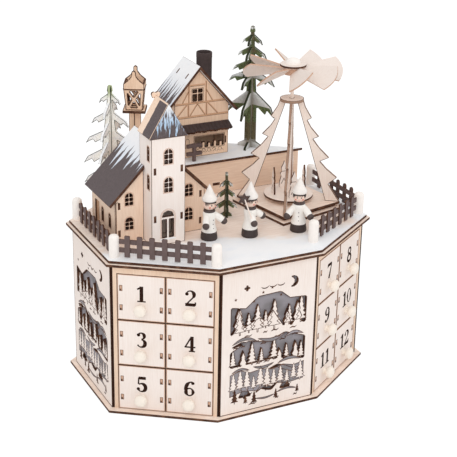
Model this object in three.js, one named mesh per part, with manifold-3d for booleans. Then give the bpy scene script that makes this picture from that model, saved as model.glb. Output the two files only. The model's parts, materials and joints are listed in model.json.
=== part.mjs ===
// A wooden advent calendar: an eight-sided box with twenty-four drawers, and a
// winter village on its snow-covered top with a church, a house, trees, carol
// singers and a candle-arch pyramid whose vaned wheel turns a small carousel.
// Millimetres, +Z up. The origin is at the middle of the underside, -Y is the front.

import * as THREE from "three";
import { mergeVertices } from "three/addons/utils/BufferGeometryUtils.js";
import Module from "manifold-3d";

const wasm = await Module();
wasm.setup();

// Driving dimensions: sheet goods and fits
const sheet = 3; // plywood thickness of nearly every board
const fit = 0.3; // clearance between pieces that are slotted or glued together
const slide = 0.5; // clearance under and beside a sliding drawer
const over = 1; // cutting tools reach past what they cut by this
const bond = 1; // pieces of one part run into each other by this

// Driving dimensions: the eight-sided box
const box = {
  halfWidth: 167.5, // middle of the box to the middle of its left or right edge
  halfDepth: 135, // middle of the box to its front or back edge
  halfPanel: 64.5, // half the length of the front, back, left and right edges
  wallHeight: 179.5,
  panelInset: 6, // pierced panels stand in from the edge of the base
  drawerInset: 8, // drawer faces stand in from the edge of the base
  snowInset: 3.5, // snow-covered board stands in from the deck board
};
const wallTop = sheet + box.wallHeight;
const ground = wallTop + 2 * sheet; // top of the snow-covered board
const leftRim = -box.halfWidth; // what stands near a rim keeps its distance from it
const rightRim = box.halfWidth;
const frontRim = -box.halfDepth;

// Driving dimensions: drawer cabinets and drawers
const cabinet = {
  stile: 7, // upright of the frame beside the drawers
  depth: 70,
  topRail: 10,
  frameEnd: 0.5, // frame stops short of the box's corner by this
  gapBetweenFronts: 1,
};
const drawer = {
  traySide: 2.6, // tray stands in from the side of its front
  trayDepth: 60,
  trayHeight: 44,
  wall: sheet,
};
const knob = {
  radius: 7.3,
  length: 12,
  neck: 3.6,
  height: 15.5, // middle of the knob above the lower edge of the front
  ball: 10.2, // length of the ball, from the tip of the knob
  widest: 5.8, // from the tip to the widest part
  crown: 5.1, // radius of the rounded end
  crownIn: 1.5,
  sides: 8,
};
const columns = 2;
const rows = 3;

// Driving dimensions: pierced panels
const fret = {
  backing: 1, // sheet glued behind the cut-outs
  backingMargin: 3,
  halfPicture: 47,
  pictureFoot: 15,
  pictureHead: 161,
};

// Driving dimensions: fences and their posts
const fence = {
  postRadius: 5.8,
  postHeight: 26,
  postSides: 10,
  height: 26,
  picket: 6,
  pitch: 14,
  rail: 5.5,
  lowRail: 5.5, // lower rail above the ground
  highRail: 15.5, // upper rail above the ground
  footGap: 1, // pickets end above the ground by this
};
const posts = {
  a: [leftRim + 14, box.halfPanel - 1.5],
  b: [leftRim + 13.5, 10.5 - box.halfPanel],
  c: [2 - box.halfPanel, frontRim + 13],
  d: [box.halfPanel + 1.5, frontRim + 29],
  e: [rightRim - 9.5, 11.5 - box.halfPanel],
  f: [rightRim - 14.5, box.halfPanel - 11.5],
};

// Driving dimensions: the raised terrace at the back
const terrace = { front: 70, left: -box.halfPanel - 15.5, height: 40, edgeInset: 6, wallInset: 1.5 };
const terraceTop = ground + terrace.height + sheet;
const terraceFence = {
  x: 3.5, y: terrace.front + 8, reach: 10, post: 4, height: 22.5, rail: 4.5, low: 7.5, high: 17.5,
};

// Driving dimensions: the church
const church = {
  x: leftRim + 81.5,
  y: -24, // face of the front gable
  halfWidth: 54.5,
  length: 71,
  ridge: 109.5, // above the ground
  slope: 1, // rise of the roof for each millimetre across
  eave: 8, // roof past the side walls
  verge: 3, // roof past the gables
  frontWindows: { at: [-37.6, 35], sills: [15, 44], width: 9.4, height: 14.5 },
  sideWindows: { at: [16, 38], sill: 14, width: 7, height: 17 },
  backWindow: { sill: 52, width: 12, height: 20 },
  doorway: { from: 49, to: 61, height: 33 },
};
const tower = {
  halfWidth: 20,
  front: -46.5,
  depth: 33,
  height: 125,
  roofSheet: 2,
  apex: 163.5,
  roofSeat: 0.5, // end boards stand above the walls by this
  eave: 2.5,
  verge: 1,
  frontWindows: { sills: [62, 95], width: 9.8, height: 17 },
  sideWindows: { at: 9, sills: [65, 98], width: 6, height: 17 },
  door: { x: -0.6, width: 14, sill: 8, height: 30, post: 1.5, transom: 3 },
};

// Driving dimensions: the half-timbered house on the terrace
const houseFront = terrace.front + 23;
const house = {
  x: 13.6, // below the ridge
  y: houseFront,
  left: 30,
  right: 42,
  length: box.halfDepth - terrace.edgeInset - houseFront, // to the back edge of the terrace
  apex: 116, // above the terrace
  slope: 1.14,
  eaveLeft: 11,
  eaveRight: 9,
  verge: 8,
  vergeBack: 6,
  gableWindow: { x: 0, sill: 71, width: 12.4, height: 14.6 },
  backWindow: { x: 6, sill: 40, width: 13, height: 17 },
};
const chimney = {
  x: house.x + 16.4, y: house.y + 17, radius: 9.7, wall: 1.8, top: 126, flueDepth: 12, sides: 18,
};
const stall = {
  left: -3, right: 36, sill: 11, head: 25,
  roofFrom: 40.5, roofInset: 1, roofReach: 13, roofFall: 6, scallop: 1.6, scallops: 4,
  jars: 5, jar: 3.4, jarHeight: 5,
};

// Driving dimensions: the lantern on the terrace
const lantern = {
  x: terrace.left + 12,
  y: 92,
  turn: -28,
  postSide: 10,
  flangeAt: 70,
  flangeHalf: 13.3,
  footHalf: 9.6,
  headHalf: 12.2,
  wall: 2,
  eaveAt: 99.5,
  headAt: 105,
  neckHalf: 2.4,
  apex: 121.5,
  paneEdge: 3,
  paneBar: 2.4,
  paneFlare: 1, // panes are wider at the head than at the foot by this on each side
  shoulderHalf: 6.1,
  shoulderAt: 110,
  neckAt: 115,
  tip: 2,
};

// Driving dimensions: windows with glazing bars, in shares of the window's width and height
const glazing = { bar: 0.14, split: 0.6, arch: [0, 45, 80], fanlight: [0, 45, 90, 135, 180] };

// Driving dimensions: trees, each of two crossed boards. A tier gives the reach of its tips, and
// in shares of the tree's height how high the tips are and how far they hang below the branch's root
const tallTree = {
  x: 90, y: 100, turn: -50, height: 154.5, bare: 0.324, trunk: 7.3, neck: 1.8, cap: 3, capHeight: 8, root: 17,
  tiers: [
    { reach: 31, tip: 0.272, droop: 0.194 },
    { reach: 30.5, tip: 0.528, droop: 0.117 },
    { reach: 25.5, tip: 0.621, droop: 0.104 },
    { reach: 19, tip: 0.744, droop: 0.091 },
    { reach: 13, tip: 0.854, droop: 0.078 },
  ],
};
const paleTree = {
  x: terrace.left - 25, y: terrace.front + 7, turn: -45, height: 152, bare: 0, trunk: 19, neck: 2, cap: 3,
  capHeight: 8, root: 22,
  tiers: [
    { reach: 34, tip: 0.191, droop: 0.132 },
    { reach: 34, tip: 0.355, droop: 0.132 },
    { reach: 31, tip: 0.52, droop: 0.118 },
    { reach: 23, tip: 0.684, droop: 0.105 },
    { reach: 13, tip: 0.855, droop: 0.079 },
  ],
};
const smallTree = {
  x: 9, y: 1, turn: -20, height: 55, bare: 0.145, trunk: 2.6, neck: 0.9, cap: 1.6, capHeight: 5, root: 7,
  tiers: [
    { reach: 13.5, tip: 0.164, droop: 0.2 },
    { reach: 11.5, tip: 0.418, droop: 0.2 },
    { reach: 8, tip: 0.655, droop: 0.164 },
  ],
};

// A branch, in shares of its reach and of the droop of its tips
const branch = { under: 0.45, notch: [0.62, 0.1], tooth: [0.7, 0.3], shoulder: [0.86, 0.42] };
const treeFoot = { reach: 0.94, rise: 0.4 }; // foot of a trunk, in shares of its root and cap
const treeCap = { shoulder: 1, crown: 0.7 };

// Driving dimensions: the turning pyramid
const pyramid = {
  x: rightRim - 75,
  y: 2,
  turn: -33, // direction of its front leg, from the front towards the right
  baseCorner: 67, // middle to a corner of the lower base plate
  stepIn: 5, // upper base plate stands in by this at its corners
  ringRadius: 14,
  ringAt: 122.5, // above the upper base plate
  ringSides: 20,
  legs: 4,
  legFootIn: 44.5,
  legFootOut: 61,
  legHeadIn: 5.5,
  braceIn: 7.2,
  braceFall: 6,
  teeth: [
    { notchReach: 47, notchAt: 21.5, reach: 57, at: 30 },
    { notchReach: 36, notchAt: 49.5, reach: 46.5, at: 54.5 },
    { notchReach: 26.5, notchAt: 77, reach: 33.5, at: 80 },
    { notchReach: 19, notchAt: 99.5, reach: 24, at: 102.5 },
  ],
  hollow: 1.5, // edge between two teeth dips inwards by this
  hollowShare: 0.55,
  spindle: 2,
  spindleIn: 6, // spindle's length inside the hub
  spindleSides: 12,
  bearing: 0.6,
};
const carousel = {
  radius: 29.5, at: 4.5, sides: 22,
  figures: 4, firstFigure: 0.25, figureReach: 19, figureHeight: 34, figureSheet: 2,
};
// Half of a robed figure, in shares of its height
const figureHalf = [[0.147, 0], [0.165, 0.16], [0.1, 0.44], [0.135, 0.5], [0.076, 0.6], [0.106, 0.7]];
const wheel = {
  at: 155, // underside of the hub above the upper base plate
  hubRadius: 12.5,
  hubHeight: 9,
  hubSides: 18,
  capRadius: 15.3,
  domeRadius: 8.5,
  domeHeight: 6.5,
  vanes: 8,
  vaneRoot: 10,
  vaneShoulder: 52,
  vaneTip: 58.5,
  vaneRootHalf: 6,
  vaneTipHalf: 17,
  vaneSheet: 1.6,
  pitch: 40,
  firstVane: 14,
};

// Driving dimensions: the carol singers
const singer = {
  height: 66,
  bootTop: 10,
  collar: 35.5,
  headAt: 42,
  headRadius: 7.4,
  brimAt: 48,
  brimRadius: 8.6,
  crownRadius: 3.9, // hat above its brim
  crownAt: 58,
  robeRadius: 8.6,
  bootFlare: 1,
  hem: 2,
  waistRadius: 6.6,
  waistAt: 21,
  chestRadius: 7.6,
  collarRadius: 5.4,
  shoulderOut: 4.5,
  shoulderFall: 5, // shoulder below the collar
  handOut: 12.5,
  handForward: 9,
  handAt: 22,
  gloveRadius: 4.1,
  gloveAt: 1.12, // glove along the arm, in arm lengths
  sleeve: 4.4,
  cuff: 3.2,
  sides: 9,
  armSides: 5,
  handRows: 4,
};
const heldStar = {
  x: -11, y: -2, z: 49, radius: 7.6, points: 6, waist: 0.56, sheet: 2, turn: -60, stick: 0.9, stickSides: 6,
};
const singers = [
  { name: "singer_left", x: -38, y: -51, facing: 15, star: false },
  { name: "singer_middle", x: 8, y: -62, facing: 42, star: true },
  { name: "singer_right", x: 66, y: -71, facing: -30, star: false },
];

const degree = Math.PI / 180;

// Materials
const paint = (color, roughness = 0.7) => new THREE.MeshStandardMaterial({ color, roughness, metalness: 0 });
const palePly = paint(0xeddcc6);
const birchPly = paint(0xdcbb95);
const burntPly = paint(0x4a3730);
const snowPaint = paint(0xf3f3f1, 0.8);
const slatePaint = paint(0x554a48);
const creamPaint = paint(0xf3ead8, 0.6);
const greenPaint = paint(0x55703f);

const root = new THREE.Group();

// Adds one named piece to a group
function addPiece(parent, name, geometry, material, place = {}) {
  const mesh = new THREE.Mesh(geometry, material);
  mesh.name = name;
  mesh.position.set(place.x ?? 0, place.y ?? 0, place.z ?? 0);
  mesh.rotation.set(0, 0, (place.turn ?? 0) * degree);
  parent.add(mesh);
  return mesh;
}

// Turns a closed geometry into a solid for joining and cutting
function solid(geometry) {
  const bare = geometry.clone();
  bare.deleteAttribute("normal");
  bare.deleteAttribute("uv");
  const merged = mergeVertices(bare, 1e-4);
  return new wasm.Manifold(
    new wasm.Mesh({
      numProp: 3,
      vertProperties: Float32Array.from(merged.attributes.position.array),
      triVerts: Uint32Array.from(merged.index.array),
    }),
  );
}

// Turns a solid back into a geometry for a mesh
function geometryOf(body) {
  const mesh = body.getMesh();
  const geometry = new THREE.BufferGeometry();
  geometry.setAttribute("position", new THREE.BufferAttribute(Float32Array.from(mesh.vertProperties), 3));
  geometry.setIndex(new THREE.BufferAttribute(Uint32Array.from(mesh.triVerts), 1));
  geometry.computeVertexNormals();
  return geometry;
}

const join = (bodies) => bodies.reduce((sum, body) => sum.add(body));
const cut = (body, tools) => tools.reduce((left, tool) => left.subtract(tool), body);

// Block between two corners
function block(low, high) {
  const size = high.map((value, i) => value - low[i]);
  const middle = high.map((value, i) => (value + low[i]) / 2);
  return new THREE.BoxGeometry(...size).translate(...middle);
}

const outline = (points) => new THREE.Shape(points.map(([x, y]) => new THREE.Vector2(x, y)));

// Board lying flat, its lower face at z, with panes cut through it
function lying(shape, thickness, z = 0, panes = []) {
  const extrude = (area, depth) => new THREE.ExtrudeGeometry(area, { depth, bevelEnabled: false });
  const board = extrude(shape, thickness);
  if (panes.length === 0) {
    return board.translate(0, 0, z);
  }
  const cutter = (pane) => solid(extrude(outline(pane), thickness + 2 * over).translate(0, 0, -over));
  return geometryOf(cut(solid(board), panes.map(cutter))).translate(0, 0, z);
}

// Board standing upright and facing -Y, its face at y and drawn as seen from the front
function standing(shape, thickness, y = 0, panes = []) {
  return lying(shape, thickness, 0, panes).rotateX(Math.PI / 2).translate(0, thickness + y, 0);
}

// Board standing upright and facing -X, its face at x and drawn with +Y running back
function standingSide(shape, thickness, x = 0, panes = []) {
  return standing(shape, thickness, 0, panes).rotateZ(Math.PI / 2).translate(thickness + x, 0, 0);
}

// Round piece turned about Z from its profile of radius and height
const turned = (profile, sides) =>
  new THREE.LatheGeometry(profile.map(([r, z]) => new THREE.Vector2(r, z)), sides).rotateX(Math.PI / 2);

// Point at a distance and an angle, the angle measured from the front towards the right
const bearingPoint = (distance, angle) => [
  distance * Math.sin(angle * degree),
  -distance * Math.cos(angle * degree),
];

// The box's plan. The slanted edges carry the drawers, the others the pierced panels
const slantRun = box.halfWidth - box.halfPanel;
const slantRise = box.halfDepth - box.halfPanel;
const slantLength = Math.hypot(slantRun, slantRise);
const slantOut = [slantRise / slantLength, slantRun / slantLength];
const slantReach = slantOut[0] * box.halfPanel + slantOut[1] * box.halfDepth;
const drawerTurn = Math.atan2(slantOut[0], slantOut[1]) / degree;

function plan(flatInset, slantInset) {
  const x = box.halfWidth - flatInset;
  const y = box.halfDepth - flatInset;
  const reach = slantReach - slantInset;
  const frontCorner = (reach - slantOut[1] * y) / slantOut[0];
  const sideCorner = (reach - slantOut[0] * x) / slantOut[1];
  return [
    [frontCorner, -y], [x, -sideCorner], [x, sideCorner], [frontCorner, y],
    [-frontCorner, y], [-x, sideCorner], [-x, -sideCorner], [-frontCorner, -y],
  ];
}

// Base plate, deck board and snow-covered board
addPiece(root, "base_plate", lying(outline(plan(0, 0)), sheet), birchPly);
addPiece(root, "deck_board", lying(outline(plan(0, 0)), sheet), birchPly, { z: wallTop });
addPiece(root, "snow_board", lying(outline(plan(box.snowInset, box.snowInset)), sheet), snowPaint, {
  z: wallTop + sheet,
});

// Pierced panels
const [[frontCornerX], [, sideCornerY]] = plan(box.panelInset, box.drawerInset);
const frontPanelY = box.halfDepth - box.panelInset;
const sidePanelX = box.halfWidth - box.panelInset;
const sidePanelHalf = -sideCornerY;

// Outline of a spruce, its foot at x and z, with notches between its tiers
const spruceCut = { trunk: 0.12, taper: 0.4, notchIn: 0.42, notchUp: 0.72 };

function spruce([x, z], height, spread, tiers) {
  const cut = spruceCut;
  const trunkTop = height * cut.trunk;
  const tier = (height - trunkTop) / tiers;
  const right = [];
  for (let i = 0; i < tiers; i++) {
    const low = trunkTop + tier * i;
    const reach = spread * (1 - i / (tiers + cut.taper));
    right.push([reach, low], [reach * cut.notchIn, low + tier * cut.notchUp]);
  }
  const trunkHalf = spread * cut.trunk;
  const half = [[trunkHalf, 0], [trunkHalf, trunkTop], ...right.slice(0, -1)];
  const mirror = half.map(([px, pz]) => [-px, pz]).reverse();
  return outline([...half, [0, height], ...mirror].map(([px, pz]) => [x + px, z + pz]));
}

// Long lens of drifting snow between two points
const driftCut = { steps: 4, sway: 0.8 };

function drift([x0, z0], [x1, z1], thickness) {
  const upper = [];
  const lower = [];
  for (let i = 1; i < driftCut.steps; i++) {
    const t = i / driftCut.steps;
    const swell = Math.sin(Math.PI * t) * thickness;
    const sway = Math.sin(2 * Math.PI * t) * thickness * driftCut.sway;
    upper.push([x0 + (x1 - x0) * t, z0 + (z1 - z0) * t + sway + swell / 2]);
    lower.unshift([x0 + (x1 - x0) * t, z0 + (z1 - z0) * t + sway - swell / 2]);
  }
  return outline([[x0, z0], ...upper, [x1, z1], ...lower].reverse());
}

// Crescent moon, its horns at an angle from +X and its inner curve in shares of its radius
const moon = { steps: 5, horn: 110, innerWidth: 0.72, innerShift: 0.28, innerHeight: 0.86 };

function crescent([x, z], radius) {
  const outer = [];
  const inner = [];
  for (let i = 0; i <= moon.steps; i++) {
    const angle = ((2 * i) / moon.steps - 1) * moon.horn * degree;
    outer.push([x + radius * Math.cos(angle), z + radius * Math.sin(angle)]);
    if (i > 0 && i < moon.steps) {
      inner.unshift([
        x + radius * (moon.innerWidth * Math.cos(angle) - moon.innerShift),
        z + radius * moon.innerHeight * Math.sin(angle),
      ]);
    }
  }
  return outline([...outer, ...inner]);
}

// Star, its waist a share of its radius
function star([x, z], radius, points = 4, waist = 0.36) {
  const corners = [];
  for (let i = 0; i < 2 * points; i++) {
    const reach = i % 2 ? radius * waist : radius;
    const angle = (i * Math.PI) / points + Math.PI / 2;
    corners.push([x + reach * Math.cos(angle), z + reach * Math.sin(angle)]);
  }
  return outline(corners);
}

// Cut-outs of one panel: a night sky behind peaks, a lake shore, and a wood in the drifts. They
// are drawn in shares of the picture's half width across and of its height upwards
function forestCuts() {
  const half = fret.halfPicture;
  const tall = fret.pictureHead - fret.pictureFoot;
  const at = (x, z) => [half * x, fret.pictureFoot + tall * z];
  const area = (points) => outline(points.map(([x, z]) => at(x, z)));
  const tree = (x, z, height, spread, tiers) => spruce(at(x, z), tall * height, half * spread, tiers);
  const sky = area([
    [-1, 0.589], [0.1, 0.555], [1, 0.582], [1, 0.795], [0.55, 0.808], [0.3, 0.877], [-0.3, 0.87],
    [-0.62, 0.788], [-1, 0.815],
  ]);
  const peaks = area([
    [-1.02, 0.534], [0.5, 0.534], [0.1, 0.74], [-0.08, 0.658], [-0.26, 0.692], [-1.02, 0.582],
  ]);
  const shore = area([
    [-1, 0.308], [0.1, 0.315], [1, 0.26], [1, 0.452], [0.45, 0.521], [0, 0.466], [-0.55, 0.507], [-1, 0.432],
  ]);
  return {
    openings: [sky, shore],
    kept: [
      peaks,
      tree(-0.8, 0.548, 0.253, 0.191, 3),
      tree(0.5, 0.534, 0.185, 0.149, 3),
      tree(0.78, 0.534, 0.24, 0.181, 3),
      tree(-0.66, 0.247, 0.185, 0.149, 3),
      tree(0.32, 0.26, 0.13, 0.128, 2),
      tree(0.76, 0.233, 0.192, 0.149, 3),
    ],
    alone: [
      crescent(at(0.62, 0.945), half * 0.138),
      star(at(-0.6, 0.959), half * 0.077),
      drift(at(-0.96, 0.479), at(0.1, 0.459), tall * 0.031),
      drift(at(0.05, 0.226), at(0.95, 0.185), tall * 0.031),
      tree(-0.6, 0.007, 0.164, 0.16, 2),
      tree(0.5, 0.014, 0.144, 0.138, 2),
      drift(at(-0.3, 0.041), at(0.28, 0.089), tall * 0.034),
    ],
  };
}

function fretPanel(halfLength) {
  const face = solid(lying(outline([
    [-halfLength, 0], [halfLength, 0], [halfLength, box.wallHeight], [-halfLength, box.wallHeight],
  ]), sheet));
  const { openings, kept, alone } = forestCuts();
  const through = (shape) => solid(lying(shape, sheet + 2 * over, -over));
  const windows = cut(join(openings.map(through)), kept.map(through));
  const pierced = cut(face, [windows, ...alone.map(through)]);
  const reach = fret.halfPicture + fret.backingMargin;
  const backing = solid(block(
    [-reach, fret.pictureFoot - fret.backingMargin, -fret.backing],
    [reach, fret.pictureHead + fret.backingMargin, 0],
  ));
  // The picture is drawn lying down, then stood up with its face to the front
  return geometryOf(pierced.add(backing)).rotateX(Math.PI / 2).translate(0, sheet, 0);
}

const frontPanelGeometry = fretPanel(frontCornerX);
const sidePanelGeometry = fretPanel(sidePanelHalf);
const panels = [
  ["panel_front", frontPanelGeometry, 0, frontPanelY],
  ["panel_right", sidePanelGeometry, 90, sidePanelX],
  ["panel_back", frontPanelGeometry, 180, frontPanelY],
  ["panel_left", sidePanelGeometry, -90, sidePanelX],
];
for (const [name, geometry, turn, reach] of panels) {
  const [x, y] = bearingPoint(reach, turn);
  addPiece(root, name, geometry, palePly, { x, y, z: sheet, turn });
}

// Drawer cabinets. Each is built in its own frame: +Y inwards from its face
const faceReach = slantReach - box.drawerInset;
const faceOffset = faceMiddleOffset();
const faceHalf = faceLength() / 2 - cabinet.frameEnd;
const halfOpening = faceHalf - cabinet.stile;
const openingTop = box.wallHeight - cabinet.topRail;
const frontWidth = (2 * (halfOpening - slide) - (columns - 1) * cabinet.gapBetweenFronts) / columns;
const frontHeight = (openingTop - fit - slide - (rows - 1) * cabinet.gapBetweenFronts) / rows;

// Length of a slanted face between the box's corners
function faceLength() {
  return Math.hypot(sidePanelX - frontCornerX, frontPanelY + sideCornerY);
}

// Distance along the face from the foot of its normal through the middle of the box to its own middle
function faceMiddleOffset() {
  const middle = [(sidePanelX + frontCornerX) / 2, (frontPanelY - sideCornerY) / 2];
  return middle[0] * slantOut[1] - middle[1] * slantOut[0];
}

// Lower edge of a drawer front and floor of its pocket, for a row counted from the bottom
const frontFoot = (row) => fit + row * (frontHeight + cabinet.gapBetweenFronts);
const pocketFloor = (row) => (row === 0 ? sheet : frontFoot(row) - cabinet.gapBetweenFronts / 2 + sheet / 2);
const pocketCeiling = (row) => (row === rows - 1 ? openingTop : pocketFloor(row + 1) - sheet);
const frontMiddle = (column) => (column - (columns - 1) / 2) * (frontWidth + cabinet.gapBetweenFronts);

function cabinetBody(mirror) {
  const inner = halfOpening;
  const height = box.wallHeight;
  const back = cabinet.depth - sheet;
  const carcass = solid(block([-inner - sheet, 0, 0], [inner + sheet, cabinet.depth, height]));
  const frame = solid(block([-faceHalf, 0, 0], [faceHalf, sheet, height]));
  const tools = [
    solid(block([-inner, -over, -over], [inner, sheet + fit, openingTop])),
    solid(block([-inner, sheet, openingTop + sheet], [inner, back, height + over])),
  ];
  for (let row = 0; row < rows; row++) {
    tools.push(solid(block([sheet / 2, over, pocketFloor(row)], [inner, back, pocketCeiling(row)])));
    tools.push(solid(block([-inner, over, pocketFloor(row)], [-sheet / 2, back, pocketCeiling(row)])));
  }
  // The frame is cut to butt against the pierced panels on either side
  for (const [turn, reach, half] of [[0, frontPanelY, frontCornerX], [90, sidePanelX, sidePanelHalf]]) {
    const near = solid(block(
      [-half - fit, reach - sheet - fit, -over],
      [half + fit, reach + over, height + over],
    ).rotateZ((180 + turn - drawerTurn) * degree).translate(-faceOffset, faceReach, 0));
    tools.push(mirror ? near.mirror([1, 0, 0]) : near);
  }
  return cut(carcass.add(frame), tools);
}

function trayBody(row) {
  const half = frontWidth / 2 - drawer.traySide;
  const foot = pocketFloor(row) + fit - frontFoot(row);
  const rim = foot + drawer.trayHeight;
  const back = sheet + drawer.trayDepth;
  const front = solid(block([-frontWidth / 2, 0, 0], [frontWidth / 2, sheet, frontHeight]));
  const tray = solid(block([-half, sheet - bond, foot], [half, back, rim]));
  const inside = solid(block(
    [-half + drawer.wall, sheet, foot + drawer.wall],
    [half - drawer.wall, back - drawer.wall, rim + over],
  ));
  const k = knob;
  const handle = turned([
    [0, -bond], [k.neck, -bond], [k.neck, k.length - k.ball], [k.radius, k.length - k.widest],
    [k.crown, k.length - k.crownIn], [0, k.length],
  ], k.sides).rotateX(Math.PI / 2).translate(0, 0, k.height);
  return join([front, cut(tray, [inside]), solid(handle)]);
}

const cabinetGeometry = { plain: geometryOf(cabinetBody(false)), mirrored: geometryOf(cabinetBody(true)) };
const drawerGeometry = Array.from({ length: rows }, (_, row) => geometryOf(trayBody(row)));
const cabinets = [
  { name: "cabinet_front_left", turn: -drawerTurn, mirrored: true, first: 1 },
  { name: "cabinet_front_right", turn: drawerTurn, mirrored: false, first: 7 },
  { name: "cabinet_back_right", turn: 180 - drawerTurn, mirrored: true, first: 13 },
  { name: "cabinet_back_left", turn: 180 + drawerTurn, mirrored: false, first: 19 },
];
for (const { name, turn, mirrored, first } of cabinets) {
  const holder = new THREE.Group();
  const side = mirrored ? -1 : 1;
  const [outX, outY] = bearingPoint(faceReach, turn);
  const [alongX, alongY] = bearingPoint(side * faceOffset, turn + 90);
  holder.position.set(outX + alongX, outY + alongY, sheet);
  holder.rotation.z = turn * degree;
  root.add(holder);
  addPiece(holder, name, mirrored ? cabinetGeometry.mirrored : cabinetGeometry.plain, palePly);
  for (let i = 0; i < rows * columns; i++) {
    const row = rows - 1 - Math.floor(i / columns);
    const number = String(first + i).padStart(2, "0");
    addPiece(holder, `drawer_${number}`, drawerGeometry[row], palePly, {
      x: frontMiddle(i % columns),
      z: frontFoot(row),
    });
  }
}

// Fence board between two posts: pickets and two rails sawn from one sheet
function fenceBoard(run, rounded) {
  const f = fence;
  const count = Math.floor((run - 2 * f.postRadius) / f.pitch);
  const start = (run - (count - 1) * f.pitch) / 2;
  const middles = Array.from({ length: count }, (_, i) => start + i * f.pitch);
  const half = f.picket / 2;
  const shoulder = f.highRail + f.rail;
  const head = rounded
    ? [[half, -half], [half / 2, 0], [-half / 2, 0], [-half, -half]]
    : [[half, 0], [-half, 0]];
  const feet = middles.flatMap((x) => [
    [x - half, f.lowRail], [x - half, f.footGap], [x + half, f.footGap], [x + half, f.lowRail],
  ]);
  const heads = middles.toReversed().flatMap((x) => [
    [x + half, shoulder], ...head.map(([dx, dz]) => [x + dx, f.height + dz]), [x - half, shoulder],
  ]);
  const edges = [0, ...middles.flatMap((x) => [x - half, x + half]), run];
  const gaps = [];
  for (let i = 0; i < edges.length; i += 2) {
    const low = f.lowRail + f.rail;
    gaps.push([[edges[i], low], [edges[i + 1], low], [edges[i + 1], f.highRail], [edges[i], f.highRail]]);
  }
  const board = outline([[0, f.lowRail], ...feet, [run, f.lowRail], [run, shoulder], ...heads, [0, shoulder]]);
  return standing(board, sheet, -sheet / 2, gaps);
}

// Fence with the posts that belong to it. Its rails run into its own posts and stop just short
// of another fence's post
function fenceBody(from, to, own, rounded) {
  const run = Math.hypot(to[0] - from[0], to[1] - from[1]);
  const turn = Math.atan2(to[1] - from[1], to[0] - from[0]);
  const board = solid(fenceBoard(run, rounded).rotateZ(turn).translate(from[0], from[1], 0));
  const others = [from, to].filter((post) => !own.includes(post));
  const clear = cut(board, others.map((post) => postBody(post, fit)));
  return join([clear, ...own.map((post) => postBody(post, 0))]);
}

function postBody([x, y], extra) {
  const r = fence.postRadius + extra;
  return solid(turned([[0, 0], [r, 0], [r, fence.postHeight], [0, fence.postHeight]], fence.postSides).translate(x, y, 0));
}

const fences = [
  ["fence_left", posts.a, posts.b, [posts.a, posts.b], true],
  ["fence_front_left", posts.b, posts.c, [posts.c], false],
  ["fence_front_right", posts.d, posts.e, [posts.d, posts.e], false],
  ["fence_right", posts.e, posts.f, [posts.f], true],
];
for (const [name, from, to, carried, rounded] of fences) {
  addPiece(root, name, geometryOf(fenceBody(from, to, carried, rounded)), burntPly, { z: ground });
}

// Raised terrace
function terracePlan(inset) {
  const corners = plan(terrace.edgeInset + inset, terrace.edgeInset + inset);
  const [, , [x], [frontX, y]] = corners;
  const front = terrace.front + inset;
  const left = terrace.left + inset;
  const [, , [, sideY]] = corners;
  const slantAt = (px) => sideY + ((y - sideY) * (x - Math.abs(px))) / (x - frontX);
  const right = x - ((front - sideY) * (x - frontX)) / (y - sideY);
  return [[left, front], [right, front], [frontX, y], [-frontX, y], [left, slantAt(left)]];
}

function terraceWalls() {
  const outer = solid(lying(outline(terracePlan(terrace.wallInset)), terrace.height));
  const inner = solid(lying(outline(terracePlan(terrace.wallInset + sheet)), terrace.height + 2 * over, -over));
  return outer.subtract(inner);
}

function terraceBoard() {
  const board = solid(lying(outline(terracePlan(0)), sheet));
  const f = terraceFence;
  const bits = [
    block([f.x - f.post / 2, f.y, 0], [f.x + f.post / 2, f.y + sheet, sheet + f.height]),
    block([f.x - f.reach, f.y, sheet + f.low], [f.x + f.reach, f.y + sheet, sheet + f.low + f.rail]),
    block([f.x - f.reach, f.y, sheet + f.high], [f.x + f.reach, f.y + sheet, sheet + f.high + f.rail]),
  ];
  return join([board, ...bits.map(solid)]);
}

addPiece(root, "terrace_walls", geometryOf(terraceWalls()), birchPly, { z: ground });
addPiece(root, "terrace_top", geometryOf(terraceBoard()), snowPaint, { z: ground + terrace.height });

// Panes of an arched window: two columns of square panes with a curved pair on top
function archedPanes(x, sill, width, height, paneRows = 2) {
  const bar = width * glazing.bar;
  const half = width / 2;
  const row = (height - half - paneRows * bar) / paneRows;
  const spring = sill + paneRows * (row + bar);
  const panes = [];
  for (const side of [-1, 1]) {
    const inner = x + (side * bar) / 2;
    const outer = x + side * half;
    for (let i = 0; i < paneRows; i++) {
      const low = sill + i * (row + bar);
      panes.push([[inner, low], [outer, low], [outer, low + row], [inner, low + row]]);
    }
    const arc = glazing.arch.map((angle) => [
      x + side * half * Math.cos(angle * degree),
      spring + half * Math.sin(angle * degree),
    ]);
    panes.push([[inner, spring], ...arc]);
  }
  return panes;
}

// Panes of a square-headed window of two columns and two rows
function squarePanes({ x, sill, width, height }) {
  const bar = width * glazing.bar;
  const split = sill + height * glazing.split;
  const panes = [];
  for (const side of [-1, 1]) {
    const inner = x + (side * bar) / 2;
    const outer = x + (side * width) / 2;
    for (const [low, high] of [[sill, split], [split + bar, sill + height]]) {
      panes.push([[inner, low], [outer, low], [outer, high], [inner, high]]);
    }
  }
  return panes;
}

// Two roof boards meeting at a ridge, as one outline across the ridge
function ridged(left, right, apex, slope, thickness) {
  const lean = Math.hypot(1, slope);
  const drop = thickness * lean;
  const inX = (thickness * slope) / lean;
  const inZ = thickness / lean;
  return outline([
    [-left, apex - slope * left], [-left + inX, apex - slope * left - inZ], [0, apex - drop],
    [right - inX, apex - slope * right - inZ], [right, apex - slope * right], [0, apex],
  ]);
}

// Height just below a roof's underside
const underRoof = (across, apex, slope, thickness) =>
  apex - slope * across - (thickness + fit) * Math.hypot(1, slope);

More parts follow.
